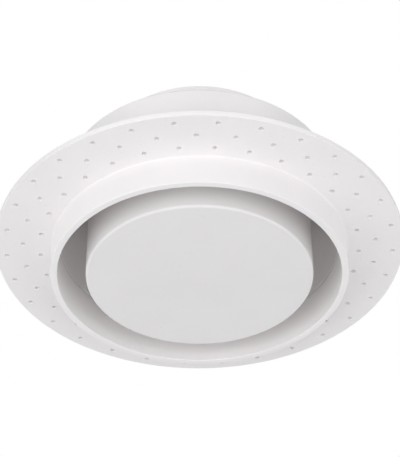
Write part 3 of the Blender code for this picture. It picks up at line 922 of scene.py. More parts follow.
@dataclass
class Assembly(ABC):
    """A sub-assembly: its sizes are fields, and build() makes its pieces."""

    body: ClassVar[Body] = Body.HOUSING

    @abstractmethod
    def build(self) -> None:
        """Makes every piece of the sub-assembly."""

    def dress(self, obj: bpy.types.Object, node: str, finish: Finish, slot: Slot,
              rides: bool = True) -> bpy.types.Object:
        """Finishes a piece and puts it in place of its frame node.

        Args:
            obj: The piece.
            node: The frame node that it stands for, which also names it.
            finish: Its surface finish.
            slot: The record's material slot; not used.
            rides: Whether it rides on the sub-assembly's body.

        Returns:
            The piece.
        """
        mesh = obj.data
        obj.name = node + "_finished"
        mesh.name = obj.name
        mesh.materials.clear()
        mesh.materials.append(finish.material())
        mesh.shade_smooth()
        mesh.set_sharp_from_angle(angle=SHARP_ANGLE)
        even = obj.modifiers.new("even_shading", "WEIGHTED_NORMAL")
        even.keep_sharp = True
        if rides:
            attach(obj, self.body.value)
        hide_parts(node)
        low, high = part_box(node)
        log.info("%s: %d faces, finish %s, %.1f mm wide", obj.name, len(mesh.polygons),
                 finish.name, (high.x - low.x) / MM)
        return obj


@dataclass
class CrossScrew:
    """A pan-head screw with a cross recess, its head's underside at its own origin."""

    head: float
    head_height: float
    shank: float
    length: float
    pitch: float = 1.1 * MM
    thread_depth: float = 0.28 * MM
    thread_samples: int = 8
    point: float = 1.4 * MM
    tip: float = 0.12
    crown: float = 0.62
    crown_fillet: float = 0.35
    rim_height: float = 0.42
    rim_fillet: float = 0.2
    seat_edge: float = 0.08 * MM
    recess_width: float = 0.17
    recess_span: float = 0.64
    recess_depth: float = 0.72
    recess_taper: float = 0.45
    cutter_height: float = 1.3
    segments: int = 40

    def mesh(self) -> bpy.types.Mesh:
        """Builds the screw.

        Returns:
            The screw's mesh, for any number of objects to share.
        """
        head, shank = self.head / 2, self.shank / 2
        neck = -self.thread_depth
        point = self.point - self.length
        thread = Thread(shank, self.pitch, self.thread_depth, self.thread_samples)
        outline = [
            *rounded((
                Corner(0, self.head_height),
                Corner(head * self.crown, self.head_height, head * self.crown_fillet),
                Corner(head, self.head_height * self.rim_height, head * self.rim_fillet),
                Corner(head, 0, self.seat_edge),
                Corner(shank - self.thread_depth, 0),
            ))[:-1],
            (shank - self.thread_depth, 0),
            *[(shank, z) for z in thread.levels(point, neck)],
            (shank * self.tip, -self.length),
            (0, -self.length),
        ]
        bm = lathe(outline, self.segments)
        thread.cut(bm, point, neck)
        screw = to_object(bm, "screw")
        combine(screw, self.recess(), Join.CUT)
        mesh = screw.data
        bpy.data.objects.remove(screw)
        return mesh

    def recess(self) -> bmesh.types.BMesh:
        """The tapered cross that a driver fits.

        Returns:
            The cutter's mesh.
        """
        wing, half = self.head * self.recess_span / 2, self.head * self.recess_width / 2
        quarter = ((half, half), (half, wing), (-half, wing))
        outline = []
        for turn in range(4):
            c, s = round(math.cos(turn * math.pi / 2)), round(math.sin(turn * math.pi / 2))
            outline += [(x * c - y * s, x * s + y * c) for x, y in quarter]
        floor = self.head_height * (1 - self.recess_depth)
        return prism(outline, floor, self.head_height * self.cutter_height,
                     self.recess_taper)

    def place(self, owner: Assembly, nodes: Sequence[str], places: Sequence[Matrix]) -> None:
        """Puts a screw at each place.

        Args:
            owner: The sub-assembly that the screws belong to.
            nodes: The frame node that each screw stands for.
            places: Where each screw's head seats.
        """
        mesh = self.mesh()
        for node, place in zip(nodes, places):
            obj = bpy.data.objects.new(node, mesh)
            bpy.context.scene.collection.objects.link(obj)
            obj.matrix_world = place
            owner.dress(obj, node, ZINC, Slot.ZINC)


SMALL_HEAD = 4.6 * MM
SMALL_HEAD_HEIGHT = 1.9 * MM
SMALL_SHANK = 2.5 * MM


def small_screw(length: float) -> CrossScrew:
    """The small screw that the whole object uses, of a given length."""
    return CrossScrew(SMALL_HEAD, SMALL_HEAD_HEIGHT, SMALL_SHANK, length)


HOUSING_SCREWS = numbered("housing_screw", 4)
SPIGOT_SCREWS = numbered("spigot_screw", 6)
BRIDGE_SCREWS = numbered("bridge_screw", 3)
PLUG_SCREWS = numbered("plug_screw", 4)
HOUSING_SCREW_HEIGHT = 7 * MM
SPIGOT_SCREW_CIRCLE = 67.5 * MM
BRIDGE_SCREW_CIRCLE = 53.4 * MM
SOCKET_WALL = 2.5 * MM
JOINT_EDGE = 0.12 * MM
THREAD_PITCH = 4 * MM
THREAD_DEPTH = 1 * MM
FOOT_CORNER = 7.506 * MM
FOOT_SCREW_HOLE = 2.05 * MM


@dataclass(frozen=True)
class Passage:
    """The air passage through flange and housing: straight at the rim, then narrowing."""

    radius: float = 86.5 * MM
    start: float = -9 * MM
    slope: float = 0.0832
    ease: float = 60 * MM

    def at(self, height: float) -> float:
        """The passage's radius at a height."""
        return self.radius - max(0.0, height - self.start) * self.slope


PASSAGE = Passage()


@dataclass
class MountingFlange(Assembly):
    """Perforated flange with its collar below and the housing's socket above."""

    thickness: float = 3.5 * MM
    flange_width: float = 34.5 * MM
    edge: float = 0.35 * MM
    rim_edge: float = 0.45 * MM
    root_fillet: float = 0.8 * MM
    hole_radius: float = 1.5 * MM
    hole_edge: float = 0.12 * MM
    hole_land: float = 2.7 * MM
    holes_per_ring: int = 30
    hole_rings: int = 3
    hole_margin: float = 6.5 * MM
    ring_pitch: float = 10.4 * MM
    hole_segments: int = 24
    hole_edge_steps: int = 3
    extent: Extent = field(default_factory=lambda: Extent.of("mounting_flange"))

    def build(self) -> None:
        """Turns the plain parts, lays the perforated band and drills the socket."""
        outer_band = self.extent.radius - self.hole_margin + self.ring_pitch / 2
        inner_band = outer_band - self.hole_rings * self.ring_pitch
        front = -self.thickness
        bm = lathe(self.collar_and_socket(inner_band, front), RING_SEGMENTS, closed=False)
        rim = (Corner(outer_band, front), Corner(self.extent.radius, front, self.edge),
               Corner(self.extent.radius, 0, self.edge), Corner(outer_band, 0))
        lathe(rounded(rim), RING_SEGMENTS, closed=False, bm=bm)
        for index in range(self.hole_rings):
            radius = outer_band - self.ring_pitch * (index + 0.5)
            stagger = math.pi / self.holes_per_ring * ((index + 1) % 2)
            for angle in around(self.holes_per_ring, stagger - math.pi / 2):
                self.perforate(bm, radius, angle, front)
        flange = to_object(bm, "mounting_flange")
        middle = Extent.of("housing_shell").radius + FACE_GAP + SOCKET_WALL / 2
        drill(flange, outward(directions(HOUSING_SCREWS), middle, HOUSING_SCREW_HEIGHT))
        self.dress(flange, "mounting_flange", OUTER_PLASTIC, Slot.FLANGE)

    def collar_and_socket(self, band: float, front: float) -> list[Point]:
        """The outline from the band's inner edge below, round the collar, to it above.

        Args:
            band: Radius where the perforated band begins.
            front: Height of the flange's lower face.

        Returns:
            The outline's points.
        """
        outer = self.extent.radius - self.flange_width
        inner = PASSAGE.radius
        socket = Extent.of("housing_shell").radius + FACE_GAP
        top = self.extent.top
        rim = self.extent.bottom
        return rounded([
            Corner(band, front),
            Corner(outer, front, self.root_fillet),
            Corner(outer, rim, self.rim_edge),
            Corner(inner, rim, self.rim_edge),
            Corner(inner, PASSAGE.start, PASSAGE.ease),
            Corner(PASSAGE.at(0), 0, JOINT_EDGE),
            Corner(socket, 0),
            Corner(socket, top, self.edge),
            Corner(socket + SOCKET_WALL, top, self.edge),
            Corner(socket + SOCKET_WALL, 0, self.root_fillet),
            Corner(band, 0),
        ])

    def perforate(self, bm: bmesh.types.BMesh, radius: float, angle: float,
                  front: float) -> None:
        """Lays one patch of the band, with an eased hole through its middle.

        Args:
            bm: The flange's mesh.
            radius: The hole's distance from the axis.
            angle: The hole's direction.
            front: Height of the flange's lower face.
        """
        out = Vector((math.cos(angle), math.sin(angle), 0))
        along = Vector((-out.y, out.x, 0))
        centre = out * radius
        turns = around(self.hole_segments)

        def circle(r: float, z: float) -> list[bmesh.types.BMVert]:
            """A ring of verts round the hole.

            Args:
                r: The ring's radius.
                z: Its height.

            Returns:
                The verts.
            """
            lift = Vector((0, 0, z))
            spots = [centre + (out * math.cos(a) + along * math.sin(a)) * r + lift for a in turns]
            return [bm.verts.new(spot) for spot in spots]

        def border(z: float) -> list[bmesh.types.BMVert]:
            """The patch's four sides, as a ring of as many verts."""
            spots = self.patch_border(radius, angle)
            return [bm.verts.new((x, y, z)) for x, y in spots]

        section = [Corner(self.hole_land, front),
                   Corner(self.hole_radius, front, self.hole_edge),
                   Corner(self.hole_radius, 0, self.hole_edge),
                   Corner(self.hole_land, 0)]
        rings = [border(front)]
        rings += [circle(r, z) for r, z in rounded(section, self.hole_edge_steps)]
        rings += [border(0)]
        for first, second in zip(rings, rings[1:]):
            bridge_rings(bm, first, second)

    def patch_border(self, radius: float, angle: float) -> list[Point]:
        """Points round a patch's border, in step with the hole's own verts.

        Args:
            radius: The patch's middle radius.
            angle: The patch's middle direction.

        Returns:
            The points, from the outer side's middle on.
        """
        side = self.hole_segments // 4
        half_turn = math.pi / self.holes_per_ring
        half_pitch = self.ring_pitch / 2
        corners = ((1, 1), (-1, 1), (-1, -1), (1, -1), (1, 1))
        loop = []
        for (r0, a0), (r1, a1) in zip(corners, corners[1:]):
            for step in range(side):
                t = step / side
                loop.append((r0 + (r1 - r0) * t, a0 + (a1 - a0) * t))
        shift = side // 2
        loop = loop[-shift:] + loop[:-shift]
        points = []
        for share_r, share_a in loop:
            r, a = radius + share_r * half_pitch, angle + share_a * half_turn
            points.append((r * math.cos(a), r * math.sin(a)))
        return points


@dataclass
class Housing(Assembly):
    """Round cup behind the flange, its foam ring and its screws."""

    wall: float = 2.2 * MM
    rear_thickness: float = 2.5 * MM
    rear_edge: float = 1.6 * MM
    edge: float = 0.3 * MM
    opening: float = 59.5 * MM
    tab_start: float = 47.9 * MM
    tab_end: float = 60.5 * MM
    tab_width: float = 12 * MM
    screw_reach: float = 5.35 * MM
    foam_edge: float = 0.15 * MM
    extent: Extent = field(default_factory=lambda: Extent.of("housing_shell"))

    def build(self) -> None:
        """Makes the shell, its gasket and its screws."""
        self.shell()
        self.gasket()
        radius = self.extent.radius + FACE_GAP + SOCKET_WALL + FACE_GAP
        places = outward(directions(HOUSING_SCREWS), radius, HOUSING_SCREW_HEIGHT)
        small_screw(self.screw_reach).place(self, HOUSING_SCREWS, places)

    def shell(self) -> None:
        """The cup, with tabs for the bridge on the rim of its rear opening."""
        front, rear = self.extent.bottom, self.extent.top
        seat = rear - self.rear_thickness
        shell = to_object(turned([
            Corner(PASSAGE.at(seat) + self.wall, rear, self.rear_edge),
            Corner(self.extent.radius, front, self.edge),
            Corner(PASSAGE.at(front), front, JOINT_EDGE),
            Corner(PASSAGE.at(seat), seat, self.rear_edge / 2),
            Corner(self.opening, seat, self.edge),
            Corner(self.opening, rear, self.edge),
        ]), "housing_shell")
        pads = directions(BRIDGE_SCREWS)
        tab = bar(self.tab_start, self.tab_end, self.tab_width, seat, rear, self.edge)
        combine(shell, copies(tab, upright(pads, 0)), Join.ADD)
        drill(shell, upright(pads, BRIDGE_SCREW_CIRCLE, rear)
              + upright(directions(SPIGOT_SCREWS), SPIGOT_SCREW_CIRCLE, rear))
        drill(shell, outward(directions(HOUSING_SCREWS), self.extent.radius, HOUSING_SCREW_HEIGHT))
        self.dress(shell, "housing_shell", HOUSING_PLASTIC, Slot.HOUSING)

    def gasket(self) -> None:
        """Foam ring between the housing's front edge and the flange."""
        place = Extent.of("housing_gasket")
        inner = PASSAGE.at(self.extent.bottom) + FACE_GAP
        section = ring(inner, place.radius, place.bottom, place.top, self.foam_edge)
        obj = to_object(turned(section), "housing_gasket")
        self.dress(obj, "housing_gasket", GASKET_FOAM, Slot.FOAM)


@dataclass
class Spigot(Assembly):
    """Tube for the duct, its foam ring, its lip seal and its screws."""

    outer: float = 61 * MM
    wall: float = 2.5 * MM
    flange_thickness: float = 2.5 * MM
    groove_depth: float = 0.8 * MM
    edge: float = 0.3 * MM
    end_edge: float = 0.9 * MM
    root_fillet: float = 1.2 * MM
    foam_edge: float = 0.35 * MM
    lip_thickness: float = 0.9 * MM
    seal_edge: float = 0.25 * MM
    screw_reach: float = 6.5 * MM
    extent: Extent = field(default_factory=lambda: Extent.of("duct_spigot"))

    def build(self) -> None:
        """Makes the tube, the two seals and the screws."""
        angles = directions(SPIGOT_SCREWS)
        self.tube(angles)
        self.gasket(angles)
        self.seal()
        seat = self.extent.bottom + self.flange_thickness + FACE_GAP
        places = upright(angles, SPIGOT_SCREW_CIRCLE, seat)
        small_screw(self.screw_reach).place(self, SPIGOT_SCREWS, places)

    def tube(self, angles: Sequence[float]) -> None:
        """The tube with its screwed flange and the seal's groove.

        Args:
            angles: Directions of the flange's screws.
        """
        seal = Extent.of("duct_seal")
        inner, groove = self.outer - self.wall, self.outer - self.groove_depth
        low, high = seal.bottom - FACE_GAP, seal.top + FACE_GAP
        bottom, top = self.extent.bottom, self.extent.top
        flange_top = bottom + self.flange_thickness
        tube = to_object(turned([
            Corner(self.outer, top, self.end_edge),
            Corner(self.outer, high, self.edge / 2),
            Corner(groove, high, self.edge / 2),
            Corner(groove, low, self.edge / 2),
            Corner(self.outer, low, self.edge / 2),
            Corner(self.outer, flange_top, self.root_fillet),
            Corner(self.extent.radius, flange_top, self.edge),
            Corner(self.extent.radius, bottom, self.edge),
            Corner(inner, bottom, self.edge),
            Corner(inner, top, self.edge),
        ]), "duct_spigot")
        drill(tube, upright(angles, SPIGOT_SCREW_CIRCLE, bottom))
        self.dress(tube, "duct_spigot", HOUSING_PLASTIC, Slot.HOUSING)

    def gasket(self, angles: Sequence[float]) -> None:
        """Foam ring under the spigot's flange.

        Args:
            angles: Directions of the flange's screws.
        """
        place = Extent.of("spigot_gasket")
        inner = self.outer - self.wall + FACE_GAP
        section = ring(inner, place.radius, place.bottom, place.top, self.foam_edge)
        obj = to_object(turned(section), "spigot_gasket")
        drill(obj, upright(angles, SPIGOT_SCREW_CIRCLE, place.bottom))
        self.dress(obj, "spigot_gasket", GASKET_FOAM, Slot.FOAM)

    def seal(self) -> None:
        """Rubber ring with a thin lip that leans outwards towards the housing."""
        place = Extent.of("duct_seal")
        base = self.outer - self.groove_depth + FACE_GAP
        body = self.outer + FACE_GAP
        lip, edge = self.lip_thickness, self.seal_edge
        obj = to_object(turned([
            Corner(body, place.top, edge),
            Corner(place.radius, place.bottom + lip, lip * 0.4),
            Corner(place.radius, place.bottom, lip * 0.3),
            Corner(body, place.top - 2 * lip, edge),
            Corner(body, place.bottom, edge),
            Corner(base, place.bottom, edge),
            Corner(base, place.top, edge),
        ]), "duct_seal")
        self.dress(obj, "duct_seal", SEAL_RUBBER, Slot.RUBBER)


@dataclass
class Bridge(Assembly):
    """Hub on three arms across the spigot's mouth, with the threaded bush in it."""

    hub_bore: float = 8.85 * MM
    hub_outer: float = 11.65 * MM
    pad_thickness: float = 3 * MM
    arm_sink: float = 1 * MM
    arm_width: float = 5 * MM
    arm_height: float = 7 * MM
    arm_overlap: float = 1.5 * MM
    pad_start: float = 48.9 * MM
    pad_end: float = 57.9 * MM
    pad_width: float = 10 * MM
    screw_reach: float = 5.7 * MM
    edge: float = 0.5 * MM
    bush_outer: float = 8.55 * MM
    bush_flange: float = 1.5 * MM
    bush_edge: float = 0.25 * MM
    bush_top_edge: float = 0.2 * MM
    thread: Thread = Thread(6.35 * MM, THREAD_PITCH, THREAD_DEPTH)
    extent: Extent = field(default_factory=lambda: Extent.of("bridge"))

    def build(self) -> None:
        """Makes the bridge, its bush and its screws."""
        angles = directions(BRIDGE_SCREWS)
        self.arms(angles)
        self.bush()
        seat = self.extent.bottom + self.pad_thickness + FACE_GAP
        places = upright(angles, BRIDGE_SCREW_CIRCLE, seat)
        small_screw(self.screw_reach).place(self, BRIDGE_SCREWS, places)

    def arms(self, angles: Sequence[float]) -> None:
        """The hub with its arms and pads.

        Args:
            angles: Directions of the arms.
        """
        low = self.extent.bottom + self.pad_thickness - self.arm_sink
        hub = to_object(turned(
            ring(self.hub_bore, self.hub_outer, low, self.extent.top, self.edge),
            SMALL_SEGMENTS,
        ), "bridge")
        middle = (self.hub_bore + self.hub_outer) / 2
        arm = bar(middle, self.pad_start + self.arm_overlap, self.arm_width, low,
                  low + self.arm_height, self.edge)
        combine(hub, copies(arm, upright(angles, 0)), Join.ADD)
        pad = bar(self.pad_start, self.pad_end, self.pad_width, self.extent.bottom,
                  self.extent.bottom + self.pad_thickness, self.edge)
        combine(hub, copies(pad, upright(angles, 0)), Join.ADD)
        drill(hub, upright(angles, BRIDGE_SCREW_CIRCLE, self.extent.bottom))
        self.dress(hub, "bridge", INNER_PLASTIC, Slot.INNER)

    def bush(self) -> None:
        """The flanged bush with its internal thread."""
        place = Extent.of("threaded_bush")
        flange_top = place.bottom + self.bush_flange
        levels = self.thread.levels(place.bottom, place.top)
        outline = rounded([
            Corner(self.bush_outer, place.top, self.bush_top_edge),
            Corner(self.bush_outer, flange_top),
            Corner(place.radius, flange_top, self.bush_edge),
            Corner(place.radius, place.bottom, self.bush_edge),
            *[Corner(self.thread.radius, z) for z in reversed(levels)],
        ])
        bm = lathe(outline, SMALL_SEGMENTS)
        self.thread.cut(bm, place.bottom, place.top)
        self.dress(to_object(bm, "threaded_bush"), "threaded_bush", ACETAL, Slot.ACETAL)


@dataclass
class SpringSeat(Assembly):
    """Compression spring and the thrust washer that it presses on."""

    body: ClassVar[Body] = Body.THRUST_WASHER
    radius: float = 9.4 * MM
    wire: float = 1.1 * MM
    coils: float = 8.0
    closed_coils: float = 1.0
    closed_gap: float = 0.05 * MM
    steps_per_coil: int = 40
    wire_segments: int = 12
    washer_bore: float = 6.6 * MM
    washer_edge: float = 0.3 * MM

    def build(self) -> None:
        """Makes the washer and the spring."""
        place = Extent.of("thrust_washer")
        section = ring(self.washer_bore, place.radius, place.bottom, place.top, self.washer_edge)
        washer = to_object(turned(section, SMALL_SEGMENTS), "thrust_washer")
        self.dress(washer, "thrust_washer", ACETAL, Slot.ACETAL)
        self.spring()

    def height_at(self, coil: float, low: float, high: float) -> float:
        """Height of the wire's middle after so many coils: closed ends, open between.

        Args:
            coil: How many coils from the lower end.
            low: Height of the wire's middle at the lower end.
            high: Height of the wire's middle at the upper end.

        Returns:
            The height.
        """
        closed = self.wire + self.closed_gap
        end = self.closed_coils
        if coil <= end:
            return low + closed * coil
        if coil >= self.coils - end:
            return high - closed * (self.coils - coil)
        share = (coil - end) / (self.coils - 2 * end)
        return low + closed * end + (high - low - 2 * closed * end) * share

    def spring(self) -> None:
        """The coil, between the bush above and the washer below."""
        low_corner, high_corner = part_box("spring")
        half = self.wire / 2
        low, high = low_corner.z + half, high_corner.z - half
        count = round(self.coils * self.steps_per_coil)
        bm = bmesh.new()
        rings = []
        for index in range(count + 1):
            coil = self.coils * index / count
            angle = math.tau * coil
            out = Vector((math.cos(angle), math.sin(angle), 0))
            middle = out * self.radius + Vector((0, 0, self.height_at(coil, low, high)))
            loop = []
            for turn in around(self.wire_segments):
                lift = Vector((0, 0, math.sin(turn)))
                loop.append(bm.verts.new(middle + (out * math.cos(turn) + lift) * half))
            rings.append(loop)
        for first, second in zip(rings, rings[1:]):
            bridge_rings(bm, first, second)
        bm.faces.new(rings[0])
        bm.faces.new(rings[-1])
        obj = to_object(bm, "spring")
        self.dress(obj, "spring", SPRING_STEEL, Slot.SPRING, rides=False)
        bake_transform(obj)


@dataclass
class Plug(Assembly):
    """The plug: cap, back plate, foam ring and the screws that join them."""

    body: ClassVar[Body] = Body.PLUG
    wall: float = 2.2 * MM
    face_thickness: float = 2.5 * MM
    face_edge: float = 1.7 * MM
    edge: float = 0.3 * MM
    post_radius: float = 4 * MM
    post_circle: float = 57.05 * MM
    pilot_depth: float = 10 * MM
    back_thickness: float = 2.5 * MM
    well_inner: float = 15 * MM
    well_wall: float = 2 * MM
    foot_wall: float = 2.2 * MM
    foot_height: float = 2.8 * MM
    seal_width: float = 7 * MM
    seal_crown: float = 0.42
    seal_crown_steps: int = 8
    screw_reach: float = 12.2 * MM
    extent: Extent = field(default_factory=lambda: Extent.of("plug_cap"))

    def build(self) -> None:
        """Makes every piece of the plug."""
        angles = directions(PLUG_SCREWS)
        self.cap(angles)
        self.back(angles)
        self.seal()
        places = upright(angles, self.post_circle, self.extent.top + FACE_GAP)
        small_screw(self.screw_reach).place(self, PLUG_SCREWS, places)

    def cap(self, angles: Sequence[float]) -> None:
        """The face and skirt with four screw posts inside.

        Args:
            angles: Directions of the posts.
        """
        outer, inner = self.extent.radius, self.extent.radius - self.wall
        face, top = self.extent.bottom, self.extent.top
        floor = face + self.face_thickness
        cap = to_object(turned([
            Corner(0, floor),
            Corner(inner, floor, self.wall / 3),
            Corner(inner, top, self.edge),
            Corner(outer, top, self.edge),
            Corner(outer, face, self.face_edge),
            Corner(0, face),
        ]), "plug_cap")
        post_top = top - self.back_thickness - FACE_GAP
        post = rod(self.post_radius, floor - self.face_thickness / 2, post_top, self.edge)
        combine(cap, copies(post, upright(angles, self.post_circle)), Join.ADD)
        pilot = rod(SCREW_HOLE, post_top - self.pilot_depth, post_top + self.pilot_depth)
        combine(cap, copies(pilot, upright(angles, self.post_circle)), Join.CUT)
        self.dress(cap, "plug_cap", PLUG_PLASTIC, Slot.PLUG)

    def back(self, angles: Sequence[float]) -> None:
        """The back plate with a well for the spring and a socket for the spindle.

        Args:
            angles: Directions of the posts.
        """
        place = Extent.of("plug_back")
        plate_low = place.top - self.back_thickness
        floor = place.bottom + self.well_wall
        well_outer = self.well_inner + self.well_wall
        foot = FOOT_CORNER + FACE_GAP
        socket = FOOT_CORNER + self.foot_wall
        obj = to_object(turned([
            Corner(place.radius, place.top, self.edge),
            Corner(place.radius, plate_low, self.edge),
            Corner(well_outer, plate_low, self.edge),
            Corner(well_outer, place.bottom, self.well_wall / 2),
            Corner(FOOT_SCREW_HOLE, place.bottom, self.edge / 2),
            Corner(FOOT_SCREW_HOLE, floor, self.edge / 2),
            Corner(foot - 2 * FACE_GAP, floor),
            Corner(foot - 2 * FACE_GAP, floor + self.foot_height),
            Corner(socket, floor + self.foot_height, self.edge),
            Corner(socket, floor, self.edge),
            Corner(self.well_inner, floor, self.well_wall / 2),
            Corner(self.well_inner, place.top, self.edge),
        ]), "plug_back")
        drill(obj, upright(angles, self.post_circle, place.top))
        hexagon = [(foot * math.cos(a), foot * math.sin(a)) for a in around(6)]
        combine(obj, prism(hexagon, floor, floor + 2 * self.foot_height), Join.CUT)
        self.dress(obj, "plug_back", INNER_PLASTIC, Slot.INNER)

    def seal(self) -> None:
        """Foam ring with a crowned top that closes on the housing's rear plate."""
        place = Extent.of("plug_seal")
        inner = place.radius - self.seal_width
        crown = (place.top - place.bottom) * self.seal_crown
        obj = to_object(lathe(rounded([
            Corner(place.radius, place.top, crown),
            Corner(place.radius, place.bottom, self.edge),
            Corner(inner, place.bottom, self.edge),
            Corner(inner, place.top, crown),
        ], self.seal_crown_steps), RING_SEGMENTS), "plug_seal")
        self.dress(obj, "plug_seal", GASKET_FOAM, Slot.FOAM)


@dataclass
class Spindle(Assembly):
    """Threaded spindle, the screw at its foot and the end stop at its top."""

    body: ClassVar[Body] = Body.PLUG
    thread: Thread = Thread(6 * MM, THREAD_PITCH, THREAD_DEPTH)
    groove_depth: float = 1.2 * MM
    foot_height: float = 2.2 * MM
    screw_depth: float = 10 * MM
    screw_head: float = 7 * MM
    screw_head_height: float = 2.5 * MM
    screw_shank: float = 3.4 * MM
    screw_pitch: float = 1.5 * MM
    screw_point: float = 2 * MM
    segments: int = 72
    chamfer: float = 0.35 * MM
    washer_edge: float = 0.15 * MM
    clip_inner: float = 5.1 * MM
    clip_lobe: float = 0.9 * MM
    clip_mouth: float = 5.1 * MM
    clip_edge: float = 0.12 * MM
    clip_steps: int = 72
    extent: Extent = field(default_factory=lambda: Extent.of("spindle"))

    def build(self) -> None:
        """Makes the spindle and its fixings."""
        self.rod()
        self.washers()
        self.foot_screw()
        self.clip()

    def rod(self) -> None:
        """The threaded rod with a hexagon foot and a groove for the clip."""
        clip, stop = Extent.of("retaining_clip"), Extent.of("stop_washer")
        washer = Extent.of("thrust_washer")
        bottom, top = self.extent.bottom, self.extent.top
        foot_top = bottom + self.foot_height
        plain = self.thread.radius - self.thread.depth
        groove = self.thread.radius - self.groove_depth
        start, end = washer.top + FACE_GAP, stop.bottom - FACE_GAP
        chamfer = self.chamfer
        outline = [
            (0, top),
            (plain - chamfer, top),
            (plain, top - chamfer),
            (plain, clip.top + FACE_GAP),
            (groove, clip.top + FACE_GAP),
            (groove, clip.bottom - FACE_GAP),
            (plain, clip.bottom - FACE_GAP),
            (plain, end),
            *[(self.thread.radius, z) for z in self.thread.levels(start, end)],
            (plain, start),
            (plain, foot_top),
            (FOOT_CORNER - chamfer, foot_top),
            (FOOT_CORNER, foot_top - chamfer),
            (FOOT_CORNER, bottom + chamfer),
            (FOOT_CORNER - chamfer, bottom),
            (FOOT_SCREW_HOLE, bottom),
            (FOOT_SCREW_HOLE, foot_top + self.screw_depth),
            (0, foot_top + self.screw_depth),
        ]
        bm = lathe(outline, self.segments)
        self.thread.cut(bm, start, end)
        self.shape_foot(bm, bottom, foot_top)
        self.dress(to_object(bm, "spindle"), "spindle", ACETAL, Slot.ACETAL)

    def shape_foot(self, bm: bmesh.types.BMesh, low: float, high: float) -> None:
        """Draws the foot's outer verts in to the sides of a hexagon.

        Args:
            bm: The spindle's mesh.
            low: Height of the foot's lower face.
            high: Height of the foot's upper face.
        """
        side = math.tau / 6
        for vert in bm.verts:
            x, y, z = vert.co
            beyond = math.hypot(x, y) - self.thread.radius
            if beyond < MERGE_DISTANCE or not low - MERGE_DISTANCE <= z <= high + MERGE_DISTANCE:
                continue
            off = math.atan2(y, x) % side - side / 2
            scale = math.cos(side / 2) / math.cos(off)
            vert.co.x *= scale
            vert.co.y *= scale

    def washers(self) -> None:
        """Plain washers at the spindle's two ends."""
        bores = {"spindle_washer": FOOT_SCREW_HOLE,
                 "stop_washer": self.thread.radius - self.thread.depth + FACE_GAP}
        for node, bore in bores.items():
            place = Extent.of(node)
            section = ring(bore, place.radius, place.bottom, place.top, self.washer_edge)
            obj = to_object(turned(section, SMALL_SEGMENTS), node)
            self.dress(obj, node, ZINC, Slot.ZINC)

    def foot_screw(self) -> None:
        """The screw that holds the spindle's foot in the plug's back plate."""
        place = Extent.of("spindle_screw")
        under_head = place.bottom + self.screw_head_height
        seat = Matrix.Translation((0, 0, under_head)) @ Matrix.Rotation(math.pi, 4, "X")
        screw = CrossScrew(self.screw_head, self.screw_head_height, self.screw_shank,
                           place.top - under_head, self.screw_pitch, point=self.screw_point)
        screw.place(self, ["spindle_screw"], [seat])

    def clip(self) -> None:
        """Spring clip that grips the groove with three lobes and opens to one side."""
        place = Extent.of("retaining_clip")
        half = math.asin(self.clip_mouth / 2 / place.radius)
        half_inner = math.asin(self.clip_mouth / 2 / (self.clip_inner + self.clip_lobe))
        steps = self.clip_steps
        outer, inner = [], []
        for step in range(steps + 1):
            t = step / steps
            a = half + (math.tau - 2 * half) * t
            b = half_inner + (math.tau - 2 * half_inner) * t
            lobe = self.clip_lobe * (0.5 - 0.5 * math.cos(3 * (b - math.pi)))
            r = self.clip_inner + lobe
            outer.append((place.radius * math.cos(a), place.radius * math.sin(a)))
            inner.append((r * math.cos(b), r * math.sin(b)))
        bm = bmesh.new()
        levels = (place.bottom, place.top)
        sheets = [[[bm.verts.new((x, y, z)) for x, y in line] for line in (outer, inner)]
                  for z in levels]
        (low_out, low_in), (high_out, high_in) = sheets
        for out, into in sheets:
            for k in range(steps):
                bm.faces.new((out[k], out[k + 1], into[k + 1], into[k]))
        for low_line, high_line in ((low_out, high_out), (low_in, high_in)):
            for k in range(steps):
                bm.faces.new((low_line[k], low_line[k + 1], high_line[k + 1], high_line[k]))
        for k in (0, steps):
            bm.faces.new((low_out[k], low_in[k], high_in[k], high_out[k]))
        bmesh.ops.recalc_face_normals(bm, faces=bm.faces)
        sharp = [e for e in bm.edges if e.calc_face_angle(0) > SHARP_ANGLE]
        bmesh.ops.bevel(bm, geom=sharp, offset=self.clip_edge, segments=2, affect="EDGES")
        self.dress(to_object(bm, "retaining_clip"), "retaining_clip", SPRING_STEEL, Slot.SPRING)


# ----------------------------------------------------------------------------- studio


COOL_WHITE: Colour = (0.967, 0.981, 1.0)


@dataclass(frozen=True)
class SoftLight:
    """A square soft box: the way it stands from the object, its power, distance and size."""

    name: str
    azimuth: float
    elevation: float
    watts: float
    distance: float = 2.0
    size: float = 1.5
    colour: Colour = COOL_WHITE


